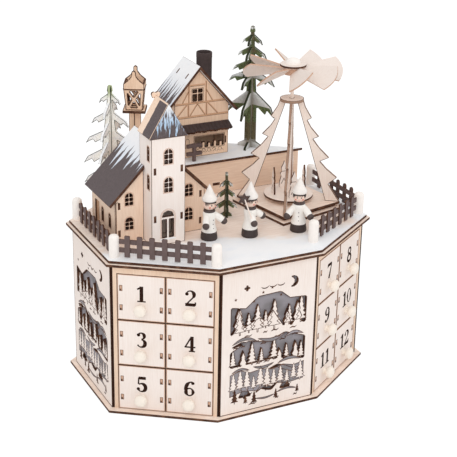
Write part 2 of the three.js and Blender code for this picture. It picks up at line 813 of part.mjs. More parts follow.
// Church: the nave's walls leave room for the tower, which stands through the front gable
function naveBody() {
  const c = church;
  const half = c.halfWidth;
  const side = underRoof(half, c.ridge, c.slope, sheet);
  const peak = underRoof(0, c.ridge, c.slope, sheet);
  const gable = outline([[-half, 0], [half, 0], [half, side], [0, peak], [-half, side]]);
  const front = c.frontWindows;
  const frontPanes = front.at.flatMap((x) =>
    front.sills.flatMap((sill) => archedPanes(x, sill, front.width, front.height)));
  const flank = c.sideWindows;
  const sidePanes = flank.at.flatMap((y) => archedPanes(y, flank.sill, flank.width, flank.height, 1));
  const back = c.backWindow;
  const { from, to, height } = c.doorway;
  const notch = [[from, 0], [from, height], [to, height], [to, 0]];
  const leftWall = outline([[0, 0], ...notch, [c.length, 0], [c.length, side], [0, side]]);
  const rightWall = outline([[0, 0], [c.length, 0], [c.length, side], [0, side]]);
  const boards = [
    standing(gable, sheet, 0, frontPanes),
    standing(gable, sheet, c.length - sheet, archedPanes(0, back.sill, back.width, back.height, 1)),
    standingSide(leftWall, sheet, -half, sidePanes),
    standingSide(rightWall, sheet, half - sheet),
  ];
  return cut(join(boards.map(solid)), [towerRoom()]);
}

// Space that the tower takes out of the nave and its roof, in the church's own frame
function towerRoom() {
  const reach = tower.halfWidth + fit;
  const front = tower.front - church.y - over;
  const back = tower.front - church.y + tower.depth + fit;
  return solid(block([-reach, front, -over], [reach, back, tower.height + over]));
}

function naveRoofBody() {
  const c = church;
  const across = c.halfWidth + c.eave;
  const boards = solid(standing(ridged(across, across, c.ridge, c.slope, sheet), c.length + 2 * c.verge, -c.verge));
  return cut(boards, [towerRoom()]);
}

// Tower: four boards, with windows in front and on its left and a double door in front
function towerBody() {
  const t = tower;
  const half = t.halfWidth;
  const front = outline([[-half, 0], [half, 0], [half, t.height], [-half, t.height]]);
  const side = outline([[0, 0], [t.depth, 0], [t.depth, t.height], [0, t.height]]);
  const ahead = t.frontWindows;
  const flank = t.sideWindows;
  const frontPanes = ahead.sills.flatMap((sill) => archedPanes(0, sill, ahead.width, ahead.height));
  const sidePanes = flank.sills.flatMap((sill) => archedPanes(flank.at, sill, flank.width, flank.height));
  const pieces = [
    standing(front, sheet, 0, [...frontPanes, ...doorPanes(t.door)]),
    standing(front, sheet, t.depth - sheet),
    standingSide(side, sheet, -half, sidePanes),
    standingSide(side, sheet, half - sheet),
  ];
  return join(pieces.map(solid));
}

// Openings of a double door with glazed leaves under a half-round fanlight
function doorPanes({ x, width, sill, height, post, transom }) {
  const half = width / 2;
  const leaf = (side) => [
    [x + side * post, sill], [x + side * half, sill], [x + side * half, height], [x + side * post, height],
  ];
  const fanlight = glazing.fanlight.map((angle) => [
    x + half * Math.cos(angle * degree),
    height + transom + half * Math.sin(angle * degree),
  ]);
  return [leaf(-1), leaf(1), fanlight];
}

// Tower roof: two boards on a triangular board at either end
function towerRoofBody() {
  const t = tower;
  const half = t.halfWidth + t.eave;
  const eave = t.height + t.roofSeat;
  const slope = (t.apex - eave) / half;
  const boards = standing(ridged(half, half, t.apex, slope, t.roofSheet), t.depth + 2 * t.verge, -t.verge);
  const gable = outline([[-half, eave], [half, eave], [0, t.apex]]);
  const gables = [-t.verge, t.depth + t.verge - sheet].map((y) => standing(gable, sheet, y));
  return join([boards, ...gables].map(solid));
}

addPiece(root, "church_walls", geometryOf(naveBody()), birchPly, { x: church.x, y: church.y, z: ground });
addPiece(root, "church_roof", geometryOf(naveRoofBody()), slatePaint, { x: church.x, y: church.y, z: ground });
addPiece(root, "tower_walls", geometryOf(towerBody()), palePly, { x: church.x, y: tower.front, z: ground });
addPiece(root, "tower_roof", geometryOf(towerRoofBody()), slatePaint, { x: church.x, y: tower.front, z: ground });

// Half-timbered house with a market stall in its ground floor
function houseBody() {
  const h = house;
  const leftTop = underRoof(h.left, h.apex, h.slope, sheet);
  const rightTop = underRoof(h.right, h.apex, h.slope, sheet);
  const peak = underRoof(0, h.apex, h.slope, sheet);
  const gable = outline([[-h.left, 0], [h.right, 0], [h.right, rightTop], [0, peak], [-h.left, leftTop]]);
  const counter = [
    [stall.left, stall.sill], [stall.right, stall.sill], [stall.right, stall.head], [stall.left, stall.head],
  ];
  const wall = (height) => outline([[0, 0], [h.length, 0], [h.length, height], [0, height]]);
  const pieces = [
    standing(gable, sheet, 0, [...squarePanes(h.gableWindow), counter]),
    standing(gable, sheet, h.length - sheet, squarePanes(h.backWindow)),
    standingSide(wall(leftTop), sheet, -h.left),
    standingSide(wall(rightTop), sheet, h.right - sheet),
  ];
  // A row of jars stands on the counter, cut from the same board as the wall
  const pitch = (stall.right - stall.left) / stall.jars;
  for (let i = 0; i < stall.jars; i++) {
    const x = stall.left + (i + 0.5) * pitch - stall.jar / 2;
    const top = stall.sill + stall.jarHeight + (i % 2) * (stall.jar / 2);
    pieces.push(block([x, 0, stall.sill - bond], [x + stall.jar, sheet, top]));
  }
  return join(pieces.map(solid));
}

function houseRoofBody() {
  const h = house;
  const shape = ridged(h.left + h.eaveLeft, h.right + h.eaveRight, h.apex, h.slope, sheet);
  return solid(standing(shape, h.length + h.verge + h.vergeBack, -h.verge));
}

// Round chimney, its foot cut to the slope of the roof that it stands on
function chimneyBody() {
  const c = chimney;
  const h = house;
  const roofAt = (x) => h.apex - h.slope * (c.x + x - h.x) + fit * Math.hypot(1, h.slope);
  const low = roofAt(c.radius) - over;
  const bore = c.radius - c.wall;
  const pipe = turned([
    [0, low], [c.radius, low], [c.radius, c.top], [bore, c.top], [bore, c.top - c.flueDepth], [0, c.top - c.flueDepth],
  ], c.sides);
  const reach = 2 * c.radius;
  const underside = outline([
    [-reach, low - reach], [reach, low - reach], [reach, roofAt(reach)], [-reach, roofAt(-reach)],
  ]);
  return solid(pipe).subtract(solid(standing(underside, 2 * reach, -reach)));
}

// Sloping canopy over the stall, with a scalloped lower edge
function stallRoofBody() {
  const s = stall;
  const left = s.roofInset - house.left;
  const run = house.left + house.right - 2 * s.roofInset;
  const lip = [];
  for (let i = 0; i <= 2 * s.scallops; i++) {
    lip.push([left + (run * i) / (2 * s.scallops), -s.roofReach - (i % 2 ? s.scallop : 0)]);
  }
  const fall = Math.atan2(s.roofFall, s.roofReach);
  const board = lying(outline([[left, 0], ...lip, [left + run, 0]]), sheet);
  return solid(board.rotateX(fall).translate(0, -fit, s.roofFrom));
}

addPiece(root, "house_walls", geometryOf(houseBody()), birchPly, { x: house.x, y: house.y, z: terraceTop });
addPiece(root, "house_roof", geometryOf(houseRoofBody()), snowPaint, { x: house.x, y: house.y, z: terraceTop });
addPiece(root, "chimney", geometryOf(chimneyBody()), burntPly, { x: chimney.x, y: chimney.y, z: terraceTop });
addPiece(root, "stall_roof", geometryOf(stallRoofBody()), burntPly, { x: house.x, y: house.y, z: terraceTop });

// Lantern: a pierced case that widens upwards, with an ogee gable in front and behind, on a post
function lanternBody() {
  const l = lantern;
  const foot = l.flangeAt + sheet;
  const low = foot + l.paneEdge;
  const high = l.eaveAt - l.paneEdge;
  const middle = (low + high) / 2;
  const reach = l.footHalf - l.paneEdge;
  const bar = l.paneBar;
  const flare = reach + l.paneFlare;
  const flank = (side) => [[side * reach, low + bar], [side * flare, high - bar], [side * bar, middle]];
  const panes = [
    [[bar - reach, low], [reach - bar, low], [0, middle - bar]],
    [[flare - bar, high], [bar - flare, high], [0, middle + bar]],
    flank(-1),
    flank(1),
  ];
  const cuts = [0, 1].flatMap((i) => panes.map((pane) =>
    solid(standing(outline(pane), 4 * l.headHalf, -2 * l.headHalf).rotateZ((i * Math.PI) / 2))));
  const tapered = (bottom, top, z0, z1) =>
    new THREE.CylinderGeometry(top * Math.SQRT2, bottom * Math.SQRT2, z1 - z0, 4)
      .rotateX(Math.PI / 2).rotateZ(Math.PI / 4).translate(0, 0, (z0 + z1) / 2);
  const taper = (l.headHalf - l.footHalf) / (l.eaveAt - foot);
  const outer = solid(tapered(l.footHalf - taper * bond, l.headHalf, foot - bond, l.eaveAt));
  const hollow = solid(tapered(l.footHalf - l.wall, l.headHalf - l.wall, foot, l.eaveAt + over));
  const rim = [[l.headHalf, l.eaveAt - bond], [l.headHalf, l.headAt]];
  const ogee = [
    ...rim, [l.shoulderHalf, l.shoulderAt], [l.neckHalf, l.neckAt], [l.neckHalf, l.apex - l.tip],
  ];
  const mirrored = (points) => points.map(([x, z]) => [-x, z]).reverse();
  const gable = outline([...ogee, [0, l.apex], ...mirrored(ogee)]);
  const side = outline([...rim, ...mirrored(rim)]);
  const crown = [0, 1, 2, 3].map((i) =>
    standing(i % 2 ? side : gable, l.wall, -l.headHalf).rotateZ((i * Math.PI) / 2));
  const half = l.postSide / 2;
  const stand = [
    block([-l.flangeHalf, -l.flangeHalf, l.flangeAt], [l.flangeHalf, l.flangeHalf, foot]),
    block([-half, -half, 0], [half, half, l.flangeAt + bond]).rotateZ(Math.PI / 4),
  ];
  return join([cut(outer, [hollow, ...cuts]), ...[...crown, ...stand].map(solid)]);
}

addPiece(root, "lantern", geometryOf(lanternBody()), birchPly, {
  x: lantern.x, y: lantern.y, z: terraceTop, turn: lantern.turn,
});

// Half of a tree's outline, from its root to its cap, with drooping and toothed branches
function treeHalf(t, offset) {
  const shoulder = t.height - t.capHeight;
  const bare = t.height * t.bare;
  const trunkAt = (z) => t.trunk + (t.neck - t.trunk) * Math.max(0, (z - bare) / (shoulder - bare));
  const points = [
    [t.root, 0], [t.root * treeFoot.reach, t.capHeight * treeFoot.rise], [trunkAt(t.capHeight), t.capHeight],
  ];
  for (const [i, { reach, tip, droop }] of t.tiers.entries()) {
    const above = t.tiers[i + 1];
    if (offset && !above) {
      break;
    }
    // A tier of the second board lies between two tiers of the first
    const out = offset ? (reach + above.reach) / 2 : reach;
    const low = t.height * (offset ? (tip + above.tip) / 2 : tip);
    const at = (share) => low + t.height * droop * share;
    const edge = ([across, up]) => [out * across, at(up)];
    points.push(
      [trunkAt(at(branch.under)), at(branch.under)],
      edge(branch.notch),
      edge(branch.tooth),
      [out, low],
      edge(branch.shoulder),
      [trunkAt(at(1)), at(1)],
    );
  }
  const crown = [[t.cap, shoulder + treeCap.shoulder], [t.cap * treeCap.crown, t.height - treeCap.shoulder]];
  return [...points, [t.neck, shoulder], ...crown];
}

function treeBody(t, staggered) {
  const board = (offset) => {
    const half = treeHalf(t, offset);
    const other = half.map(([x, z]) => [-x, z]).reverse();
    return standing(outline([...half, [0, t.height], ...other]), sheet, -sheet / 2);
  };
  return solid(board(false)).add(solid(board(staggered).rotateZ(Math.PI / 2)));
}

const trees = [
  ["tree_tall", tallTree, terraceTop, greenPaint, false],
  ["tree_pale", paleTree, ground, creamPaint, true],
  ["tree_small", smallTree, ground, greenPaint, false],
];
for (const [name, tree, z, material, staggered] of trees) {
  const geometry = geometryOf(treeBody(tree, staggered));
  addPiece(root, name, geometry, material, { x: tree.x, y: tree.y, z, turn: tree.turn });
}

// Turning pyramid
const pyramidGroup = new THREE.Group();
pyramidGroup.position.set(pyramid.x, pyramid.y, ground);
pyramidGroup.rotation.z = pyramid.turn * degree;
root.add(pyramidGroup);
const pyramidFloor = 3 * sheet;

function pyramidBase() {
  const square = (corner) => outline([[0, -corner], [corner, 0], [0, corner], [-corner, 0]]);
  const lower = solid(lying(square(pyramid.baseCorner), sheet));
  const spacer = solid(lying(square(pyramid.baseCorner - 2 * pyramid.stepIn), sheet + 2 * bond, sheet - bond));
  const upper = solid(lying(square(pyramid.baseCorner - pyramid.stepIn), sheet, 2 * sheet));
  return join([lower, spacer, upper]);
}

// One leg, drawn by distance from the spindle and height, with the teeth of a spruce's edge
function legBoard() {
  const p = pyramid;
  const top = p.ringAt + sheet;
  const edge = [];
  for (const [i, tooth] of p.teeth.entries()) {
    const next = p.teeth[i + 1] ?? { notchReach: p.ringRadius - bond, notchAt: top };
    const between = (from, to) => from + (to - from) * p.hollowShare;
    edge.push(
      [tooth.notchReach, tooth.notchAt],
      [tooth.reach, tooth.at],
      [between(tooth.reach, next.notchReach) - p.hollow, between(tooth.at, next.notchAt)],
    );
  }
  return outline([
    [p.legFootIn, 0], [p.legFootOut, 0], ...edge, [p.ringRadius - bond, top], [p.legHeadIn, top],
    [p.braceIn, top - p.braceFall],
  ]);
}

function pyramidFrame() {
  const p = pyramid;
  const pieces = [];
  for (let i = 0; i < p.legs; i++) {
    pieces.push(solid(standing(legBoard(), sheet, -sheet / 2).rotateZ((i * 2 * Math.PI) / p.legs)));
  }
  const bore = p.spindle + p.bearing;
  const ring = turned([
    [bore, p.ringAt], [p.ringRadius, p.ringAt], [p.ringRadius, p.ringAt + sheet], [bore, p.ringAt + sheet],
    [bore, p.ringAt],
  ], p.ringSides);
  return join([...pieces, solid(ring)]);
}

// Profile of a rounded cap, from its rim to its top
function dome(radius, height, z) {
  return [0, 30, 60, 90].map((angle) => [
    angle === 90 ? 0 : radius * Math.cos(angle * degree),
    z + height * Math.sin(angle * degree),
  ]);
}

// Vaned wheel: eight pitched vanes slotted into a hub under a round cap
function vane() {
  const w = wheel;
  const arc = [-1, -0.6, 0, 0.6, 1].map((t) => [
    w.vaneShoulder + (w.vaneTip - w.vaneShoulder) * (1 - t * t),
    w.vaneTipHalf * t,
  ]);
  const board = outline([[w.vaneRoot, -w.vaneRootHalf], ...arc, [w.vaneRoot, w.vaneRootHalf]]);
  return lying(board, w.vaneSheet, -w.vaneSheet / 2).rotateX(w.pitch * degree);
}

function wheelBody() {
  const w = wheel;
  const top = w.hubHeight;
  const hub = turned([
    [0, 0], [w.hubRadius, 0], [w.hubRadius, top], [w.capRadius, top], [w.capRadius, top + sheet],
    ...dome(w.domeRadius, w.domeHeight, top + sheet),
  ], w.hubSides);
  const vanes = [];
  for (let i = 0; i < w.vanes; i++) {
    vanes.push(solid(vane().translate(0, 0, top / 2).rotateZ((w.firstVane + (i * 360) / w.vanes) * degree)));
  }
  const p = pyramid;
  const seat = turned([
    [0, -over], [p.spindle + fit, -over], [p.spindle + fit, p.spindleIn], [0, p.spindleIn],
  ], p.spindleSides);
  return cut(join([solid(hub), ...vanes]), [solid(seat)]);
}

// Carousel: a spindle through a disc that carries flat figures
function carouselBody() {
  const c = carousel;
  const p = pyramid;
  const top = wheel.at + p.spindleIn - fit;
  const pieces = [
    turned([[0, fit], [p.spindle, fit], [p.spindle, top], [0, top]], p.spindleSides),
    turned([[0, c.at], [c.radius, c.at], [c.radius, c.at + sheet], [0, c.at + sheet]], c.sides),
  ];
  const half = figureHalf.map(([x, z]) => [x * c.figureHeight, z * c.figureHeight]);
  const figure = outline([...half, [0, c.figureHeight], ...half.map(([x, z]) => [-x, z]).reverse()]);
  for (let i = 0; i < c.figures; i++) {
    const board = standing(figure, c.figureSheet, -c.figureSheet / 2).rotateZ(Math.PI / 2);
    board.translate(c.figureReach, 0, c.at + sheet - bond / 2);
    pieces.push(board.rotateZ(((i + c.firstFigure) * 2 * Math.PI) / c.figures));
  }
  return join(pieces.map(solid));
}

addPiece(pyramidGroup, "pyramid_base", geometryOf(pyramidBase()), birchPly);
addPiece(pyramidGroup, "pyramid_frame", geometryOf(pyramidFrame()), palePly, { z: pyramidFloor });
addPiece(pyramidGroup, "vane_wheel", geometryOf(wheelBody()), creamPaint, { z: pyramidFloor + wheel.at });
addPiece(pyramidGroup, "carousel", geometryOf(carouselBody()), palePly, { z: pyramidFloor });

// Rod from one point to another
function rod(from, to, thin, thick, sides) {
  const lean = new THREE.Quaternion().setFromUnitVectors(
    new THREE.Vector3(0, 1, 0),
    to.clone().sub(from).normalize(),
  );
  return new THREE.CylinderGeometry(thick, thin, from.distanceTo(to), sides)
    .applyQuaternion(lean)
    .translate(...from.clone().lerp(to, 0.5).toArray());
}

// Carol singer, facing -Y
function singerBody(withStar) {
  const s = singer;
  const body = turned([
    [0, 0], [s.robeRadius + s.bootFlare, 0], [s.robeRadius, s.bootTop], [s.robeRadius, s.bootTop + s.hem],
    [s.waistRadius, s.waistAt], [s.chestRadius, s.collar - s.shoulderFall], [s.collarRadius, s.collar], [0, s.collar],
  ], s.sides);
  const head = new THREE.SphereGeometry(s.headRadius, s.sides, s.armSides)
    .rotateX(Math.PI / 2).translate(0, 0, s.headAt);
  const hat = turned([
    [0, s.brimAt - s.hem], [s.brimRadius - bond, s.brimAt - s.hem], [s.brimRadius, s.brimAt + bond],
    [s.crownRadius, s.crownAt], [0, s.height],
  ], s.sides);
  const pieces = [body, head, hat];
  for (const side of [-1, 1]) {
    const shoulder = new THREE.Vector3(side * s.shoulderOut, 0, s.collar - s.shoulderFall);
    const hand = new THREE.Vector3(side * s.handOut, -s.handForward, s.handAt);
    const glove = new THREE.SphereGeometry(s.gloveRadius, s.armSides, s.handRows);
    glove.translate(...shoulder.clone().lerp(hand, s.gloveAt).toArray());
    pieces.push(rod(shoulder, hand, s.cuff, s.sleeve, s.armSides), glove);
  }
  if (withStar) {
    pieces.push(...starOnStick());
  }
  return join(pieces.map(solid));
}

// The middle singer carries a star on a stick over the right shoulder
function starOnStick() {
  const h = heldStar;
  const foot = new THREE.Vector3(-singer.handOut, -singer.handForward, singer.handAt);
  const head = new THREE.Vector3(h.x, h.y, h.z);
  const board = standing(star([0, 0], h.radius, h.points, h.waist), h.sheet, -h.sheet / 2)
    .rotateZ(h.turn * degree).translate(h.x, h.y, h.z);
  return [rod(foot, head, h.stick, h.stick, h.stickSides), board];
}

for (const { name, x, y, facing, star: withStar } of singers) {
  addPiece(root, name, geometryOf(singerBody(withStar)), creamPaint, { x, y, z: ground, turn: facing });
}

export default root;
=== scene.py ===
"""Dresses the wooden advent calendar: plywood, burnt edges, printed snow, numerals and painted figures.

All sizes in the making are millimetres in the frame of the CAD part; a finished mesh is in metres.
"""

import json
import random
from math import atan2, cos, dist, hypot, pi, radians, sin

import bmesh
import bpy
from mathutils import Euler, Matrix, Vector
from mathutils.bvhtree import BVHTree


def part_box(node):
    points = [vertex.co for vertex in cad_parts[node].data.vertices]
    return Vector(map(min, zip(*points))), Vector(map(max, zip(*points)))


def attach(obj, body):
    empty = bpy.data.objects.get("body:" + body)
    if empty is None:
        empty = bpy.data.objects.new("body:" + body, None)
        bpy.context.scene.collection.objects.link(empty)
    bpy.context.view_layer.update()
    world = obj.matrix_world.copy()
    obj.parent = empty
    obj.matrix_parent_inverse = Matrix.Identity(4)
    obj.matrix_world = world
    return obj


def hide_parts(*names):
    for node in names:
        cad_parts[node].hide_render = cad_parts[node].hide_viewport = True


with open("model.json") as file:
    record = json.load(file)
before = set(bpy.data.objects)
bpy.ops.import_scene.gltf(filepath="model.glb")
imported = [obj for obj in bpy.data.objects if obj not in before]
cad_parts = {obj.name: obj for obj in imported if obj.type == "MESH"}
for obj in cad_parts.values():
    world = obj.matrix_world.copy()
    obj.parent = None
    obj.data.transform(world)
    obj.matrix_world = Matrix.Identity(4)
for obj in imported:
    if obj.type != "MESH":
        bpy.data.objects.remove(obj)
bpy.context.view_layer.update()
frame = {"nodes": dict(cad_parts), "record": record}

bl_info = {
    "name": "Advent Calendar",
    "version": (1, 0, 0),
    "blender": (4, 5, 0),
    "location": "View3D > Sidebar > Calendar",
    "description": "Plywood advent calendar with a snowy village and a turning pyramid",
    "category": "Add Mesh",
}

MM = 0.001
SLIDES = {joint["child"]: joint["axis"] for joint in frame["record"]["behaviour"]["joints"]
          if joint["type"] == "slide"}
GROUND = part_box("snow_board")[1][2] / MM
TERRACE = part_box("chimney")[1][2] / MM - 126
FOOT = Vector((0, 0, 3))                # of panels and cabinets, on the base plate
CHURCH, HOUSE = -86, 13.6               # X of the ridge of the church and of the house
UPRIGHT, LYING = (1, 1, 14), (14, 1, 1)  # how a board's grain is stretched
EDGE = 3.25                             # a flat face narrower than this is sawn


# Sizes and colours that can be changed in the sidebar

def colour(name, description, value):
    return bpy.props.FloatVectorProperty(name=name, description=description, subtype="COLOR", size=3,
                                         min=0, max=1, default=value)


def length(name, description, value):
    return bpy.props.FloatProperty(name=name, description=description, unit="LENGTH", min=0,
                                   default=value * MM)


class CalendarColours(bpy.types.PropertyGroup):
    pale: colour("Pale plywood", "Faces of drawers, panels and tower", (0.94, 0.865, 0.82))
    birch: colour("Birch plywood", "Walls of the church, house and terrace", (0.93, 0.73, 0.58))
    burnt: colour("Burnt edge", "Laser-cut edges and engraving", (0.075, 0.033, 0.022))
    scorch: colour("Scorch", "Warm tint beside a burnt edge", (0.62, 0.4, 0.29))
    backing: colour("Backing sheet", "Sheet behind the pierced panels", (0.27, 0.25, 0.255))
    snow: colour("Snow", "Printed snow", (0.91, 0.91, 0.92))
    slate: colour("Slate", "Printed roofs", (0.115, 0.09, 0.092))
    fence: colour("Fence stain", "Fences, canopy and chimney", (0.15, 0.105, 0.1))
    cream: colour("Cream paint", "Posts, knobs and hats", (0.94, 0.88, 0.83))
    needle: colour("Needles", "Painted spruces", (0.1, 0.125, 0.05))
    robe: colour("Robe", "Robes of the singers", (0.93, 0.89, 0.84))
    skin: colour("Face", "Faces of the singers", (0.88, 0.66, 0.55))
    boot: colour("Boots", "Boots, gloves and hair", (0.045, 0.03, 0.027))


class CalendarSizes(bpy.types.PropertyGroup):
    bevel: length("Burnt rim", "Softened and burnt rim of a sawn edge", 0.32)
    numeral: length("Numeral height", "Height of a drawer's number", 19.5)
    picket: length("Picket width", "Width of one picket", 6)
    pitch: length("Picket pitch", "Distance from one picket to the next", 14)
    vanes: bpy.props.IntProperty(name="Vanes", description="Vanes of the wheel", default=8, min=3)


# Shader and geometry trees

class Wire:
    """A number in a node tree. Maths on it adds Math nodes."""

    def __init__(self, tree, socket):
        self.tree, self.socket = tree, socket

    def math(self, operation, *values):
        node = self.tree.add("ShaderNodeMath", {"operation": operation}, *values)
        return Wire(self.tree, node.outputs[0])

    def __add__(self, other): return self.math("ADD", self, other)
    def __sub__(self, other): return self.math("SUBTRACT", self, other)
    def __rsub__(self, other): return self.math("SUBTRACT", other, self)
    def __mul__(self, other): return self.math("MULTIPLY", self, other)
    def __truediv__(self, other): return self.math("DIVIDE", self, other)
    def __pow__(self, other): return self.math("POWER", self, other)
    def __abs__(self): return self.math("ABSOLUTE", self)
    __radd__, __rmul__ = __add__, __mul__

    def floor(self): return self.math("FLOOR", self)
    def fract(self): return self.math("FRACT", self)
    def least(self, other): return self.math("MINIMUM", self, other)
    def most(self, other): return self.math("MAXIMUM", self, other)

    def ramp(self, low, high):
        """0 below low and 1 above high, with a soft step between them."""
        node = self.tree.add("ShaderNodeMapRange", {"interpolation_type": "SMOOTHSTEP"},
                             Value=self, From_Min=low, From_Max=high)
        return Wire(self.tree, node.outputs[0])


class Tree:
    """A node tree that is being written."""

    def __init__(self, tree):
        self.tree = tree

    def put(self, socket, value):
        if isinstance(value, Wire):
            value = value.socket
        if isinstance(value, bpy.types.NodeSocket):
            self.tree.links.new(value, socket)
        elif isinstance(value, (tuple, list)) and socket.type == "RGBA":
            socket.default_value = (*value[:3], 1)
        else:
            socket.default_value = value

    def add(self, kind, settings=None, *inputs, **named):
        """Adds a node, then sets its settings, and then the values or links of its sockets."""
        node = self.tree.nodes.new(kind)
        for key, value in (settings or {}).items():
            setattr(node, key, value)
        for socket, value in zip(node.inputs, inputs):
            self.put(socket, value)
        for key, value in named.items():
            self.put(node.inputs[key.replace("_", " ")], value)
        return node


class Paint(Tree):
    """The node tree of one finish, in millimetres of the object's own coordinates."""

    def __init__(self, name):
        self.material = bpy.data.materials.new(name)
        self.material.use_nodes = True
        super().__init__(self.material.node_tree)
        self.tree.nodes.clear()
        self.place = self.scaled(self.add("ShaderNodeTexCoord").outputs["Object"], (1 / MM,) * 3)
        axes = self.add("ShaderNodeSeparateXYZ", Vector=self.place).outputs
        self.x, self.y, self.z = (Wire(self, axis) for axis in axes)

    def scaled(self, vector, factors):
        return self.add("ShaderNodeVectorMath", {"operation": "MULTIPLY"}, vector, factors).outputs[0]

    def to_front(self):
        """1 where the surface looks straight to the front, and -1 where it looks straight back."""
        normal = self.add("ShaderNodeNewGeometry").outputs["Normal"]
        return 0 - Wire(self, self.add("ShaderNodeSeparateXYZ", Vector=normal).outputs[1])

    def noise(self, size, stretch=(1, 1, 1), detail=2):
        """Noise from 0 to 1 with blotches of that size, in millimetres."""
        place = self.scaled(self.place, tuple(1 / (size * part) for part in stretch))
        return Wire(self, self.add("ShaderNodeTexNoise", Vector=place, Scale=1.0, Detail=detail,
                                   Roughness=0.5).outputs["Fac"])

    def chance(self, number):
        """A number from 0 to 1 that stays the same over each whole number."""
        node = self.add("ShaderNodeTexWhiteNoise", {"noise_dimensions": "1D"}, W=number)
        return Wire(self, node.outputs["Value"])

    def attribute(self, name):
        return Wire(self, self.add("ShaderNodeAttribute", {"attribute_name": name}).outputs["Fac"])

    def mix(self, mask, first, second):
        node = self.add("ShaderNodeMix", {"data_type": "RGBA"})
        for socket, value in ((0, mask), (6, first), (7, second)):
            self.put(node.inputs[socket], value)
        return node.outputs[2]

    def finish(self, colour, roughness, height, depth=0.03, sheen=0.3):
        bump = self.add("ShaderNodeBump", Strength=1.0, Distance=depth * MM, Height=height)
        shader = self.add("ShaderNodeBsdfPrincipled", Base_Color=colour, Roughness=roughness,
                          Specular_IOR_Level=sheen, Normal=bump.outputs[0])
        self.add("ShaderNodeOutputMaterial", Surface=shader.outputs[0])
        return self.material


def tint(colour, *factors):
    """A colour times one factor, or times one for each channel."""
    return tuple(min(1, part * factor) for part, factor in zip(colour, factors * 3))


def blended(first, second, share):
    return tuple(a + (b - a) * share for a, b in zip(first, second))


def grained(paint, colour, contrast, stretch=UPRIGHT):
    """Plywood face: long fine streaks, a slow cloud and short dark flecks. Also gives the streaks."""
    streak = paint.noise(1.1, stretch, 3)
    cloud = paint.noise(38, (1, 1, 1.6), 1)
    fleck = paint.noise(0.5, (1, 1, 9), 1).ramp(0.66, 0.74)
    shade = ((streak - 0.5) * 1.5 + (cloud - 0.5) * 0.9) * contrast + 0.5
    dark = tint(colour, 0.89, 0.82, 0.77)
    face = paint.mix(shade.ramp(0.1, 0.95), tint(colour, 1.05), dark)
    return paint.mix(fleck * (0.25 * contrast), face, tint(dark, 0.8)), streak


def plywood(name, colour, contrast, stretch):
    paint = Paint(name)
    face, streak = grained(paint, colour, contrast, stretch)
    return paint.finish(face, 0.62 + streak * 0.12, streak, 0.04)


def painted(name, colour, wear, roughness, sheen):
    """Brushed paint over wood, a little uneven."""
    paint = Paint(name)
    brush = paint.noise(0.8, (1, 1, 6))
    cloud = paint.noise(6)
    shade = (brush - 0.5) * 0.8 + (cloud - 0.5) + 0.5
    face = paint.mix(shade.ramp(0.15, 0.95) * wear, tint(colour, 1.04), tint(colour, 0.72))
    return paint.finish(face, roughness + brush * 0.15, brush, 0.03, sheen)


def burnt_edge(name, c):
    """Charred plies, browner where there is less soot."""
    paint = Paint(name)
    ply, soot = paint.noise(0.9), paint.noise(7)
    face = paint.mix(soot.ramp(0.35, 0.75), c.burnt[:], tint(c.burnt, 2.6, 2.9, 2.6))
    return paint.finish(paint.mix(ply.ramp(0.3, 0.7) * 0.35, face, tint(c.burnt, 0.5)), 0.8, ply, 0.05, 0.1)


def snow_mask(paint, along, away, reach, pitch, seed):
    """Where snow lies: down to pointed drips of uneven length, away being the distance from the ridge."""
    bend = paint.noise(9, (1, 1, 1), 1) * 3
    masks = []
    for step, (size, tall, short) in enumerate(((1, 1.0, 0.4), (0.43, 0.7, 0.3))):
        run = (along + bend) / (pitch * size) + seed + step * 7.3
        spike = 1 - abs(run.fract() * 2 - 1)
        height = paint.chance(run.floor()) * 0.65 + 0.35
        end = (spike ** 0.8) * height * (tall * reach) + short * reach
        masks.append((end - away).ramp(-0.4, 0.5))
    return masks[0].most(masks[1])


def slated(paint, c):
    """Printed slate, and its fine streaks."""
    fine = paint.noise(0.7, (1, 1, 5))
    return paint.mix(fine.ramp(0.3, 0.8), tint(c.slate, 0.75), tint(c.slate, 1.35)), fine


def snowy_roof(name, c, ridge, reach, pitch, seed):
    """Printed roof with snow that drips from its ridge, at X = ridge."""
    paint = Paint(name)
    far = abs(paint.x - ridge)
    mask = snow_mask(paint, paint.y, far, reach, pitch, seed)
    dark, fine = slated(paint, c)
    cloud = paint.noise(5, (1, 1, 1), 3)
    shade = (far / reach).ramp(0.15, 1.1) * 0.55 + (cloud - 0.5).ramp(0.0, 0.5) * 0.4
    white = paint.mix(shade, c.snow[:], tint(c.snow, 0.62, 0.74, 0.9))
    return paint.finish(paint.mix(mask, dark, white), 0.7, fine)


def tower_roof(name, c):
    """Tower roof: a dark strip along slabs of bare wood, and a snowy gable."""
    paint = Paint(name)
    bare, _ = grained(paint, c.birch[:], 0.9)
    dark, fine = slated(paint, c)
    wave = (paint.noise(6, (1, 1, 1), 1) - 0.5) * 3
    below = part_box("tower_roof")[1][2] / MM - paint.z
    wood = (paint.y + wave * 0.5).ramp(-26.5, -26.0).most(1 - paint.y.ramp(-46.2, -46))
    slab = paint.mix(wood.most(1 - below.ramp(1.6, 2.0)), dark, bare)
    far = below + abs(paint.x - CHURCH) * 0.2
    streaks = paint.noise(1.3, (1, 1, 7), 3).ramp(0.42, 0.52).most((far / 12).ramp(1.2, 0.4))
    mask = snow_mask(paint, paint.x, far, 37, 4.4, 1.7) * streaks
    white = paint.mix((far / 30).ramp(0.05, 0.8) * 0.8, c.snow[:], tint(c.snow, 0.42, 0.64, 0.88))
    gable = paint.mix(mask, dark, white)
    return paint.finish(paint.mix(paint.to_front().ramp(0.6, 0.8), slab, gable), 0.7, fine)


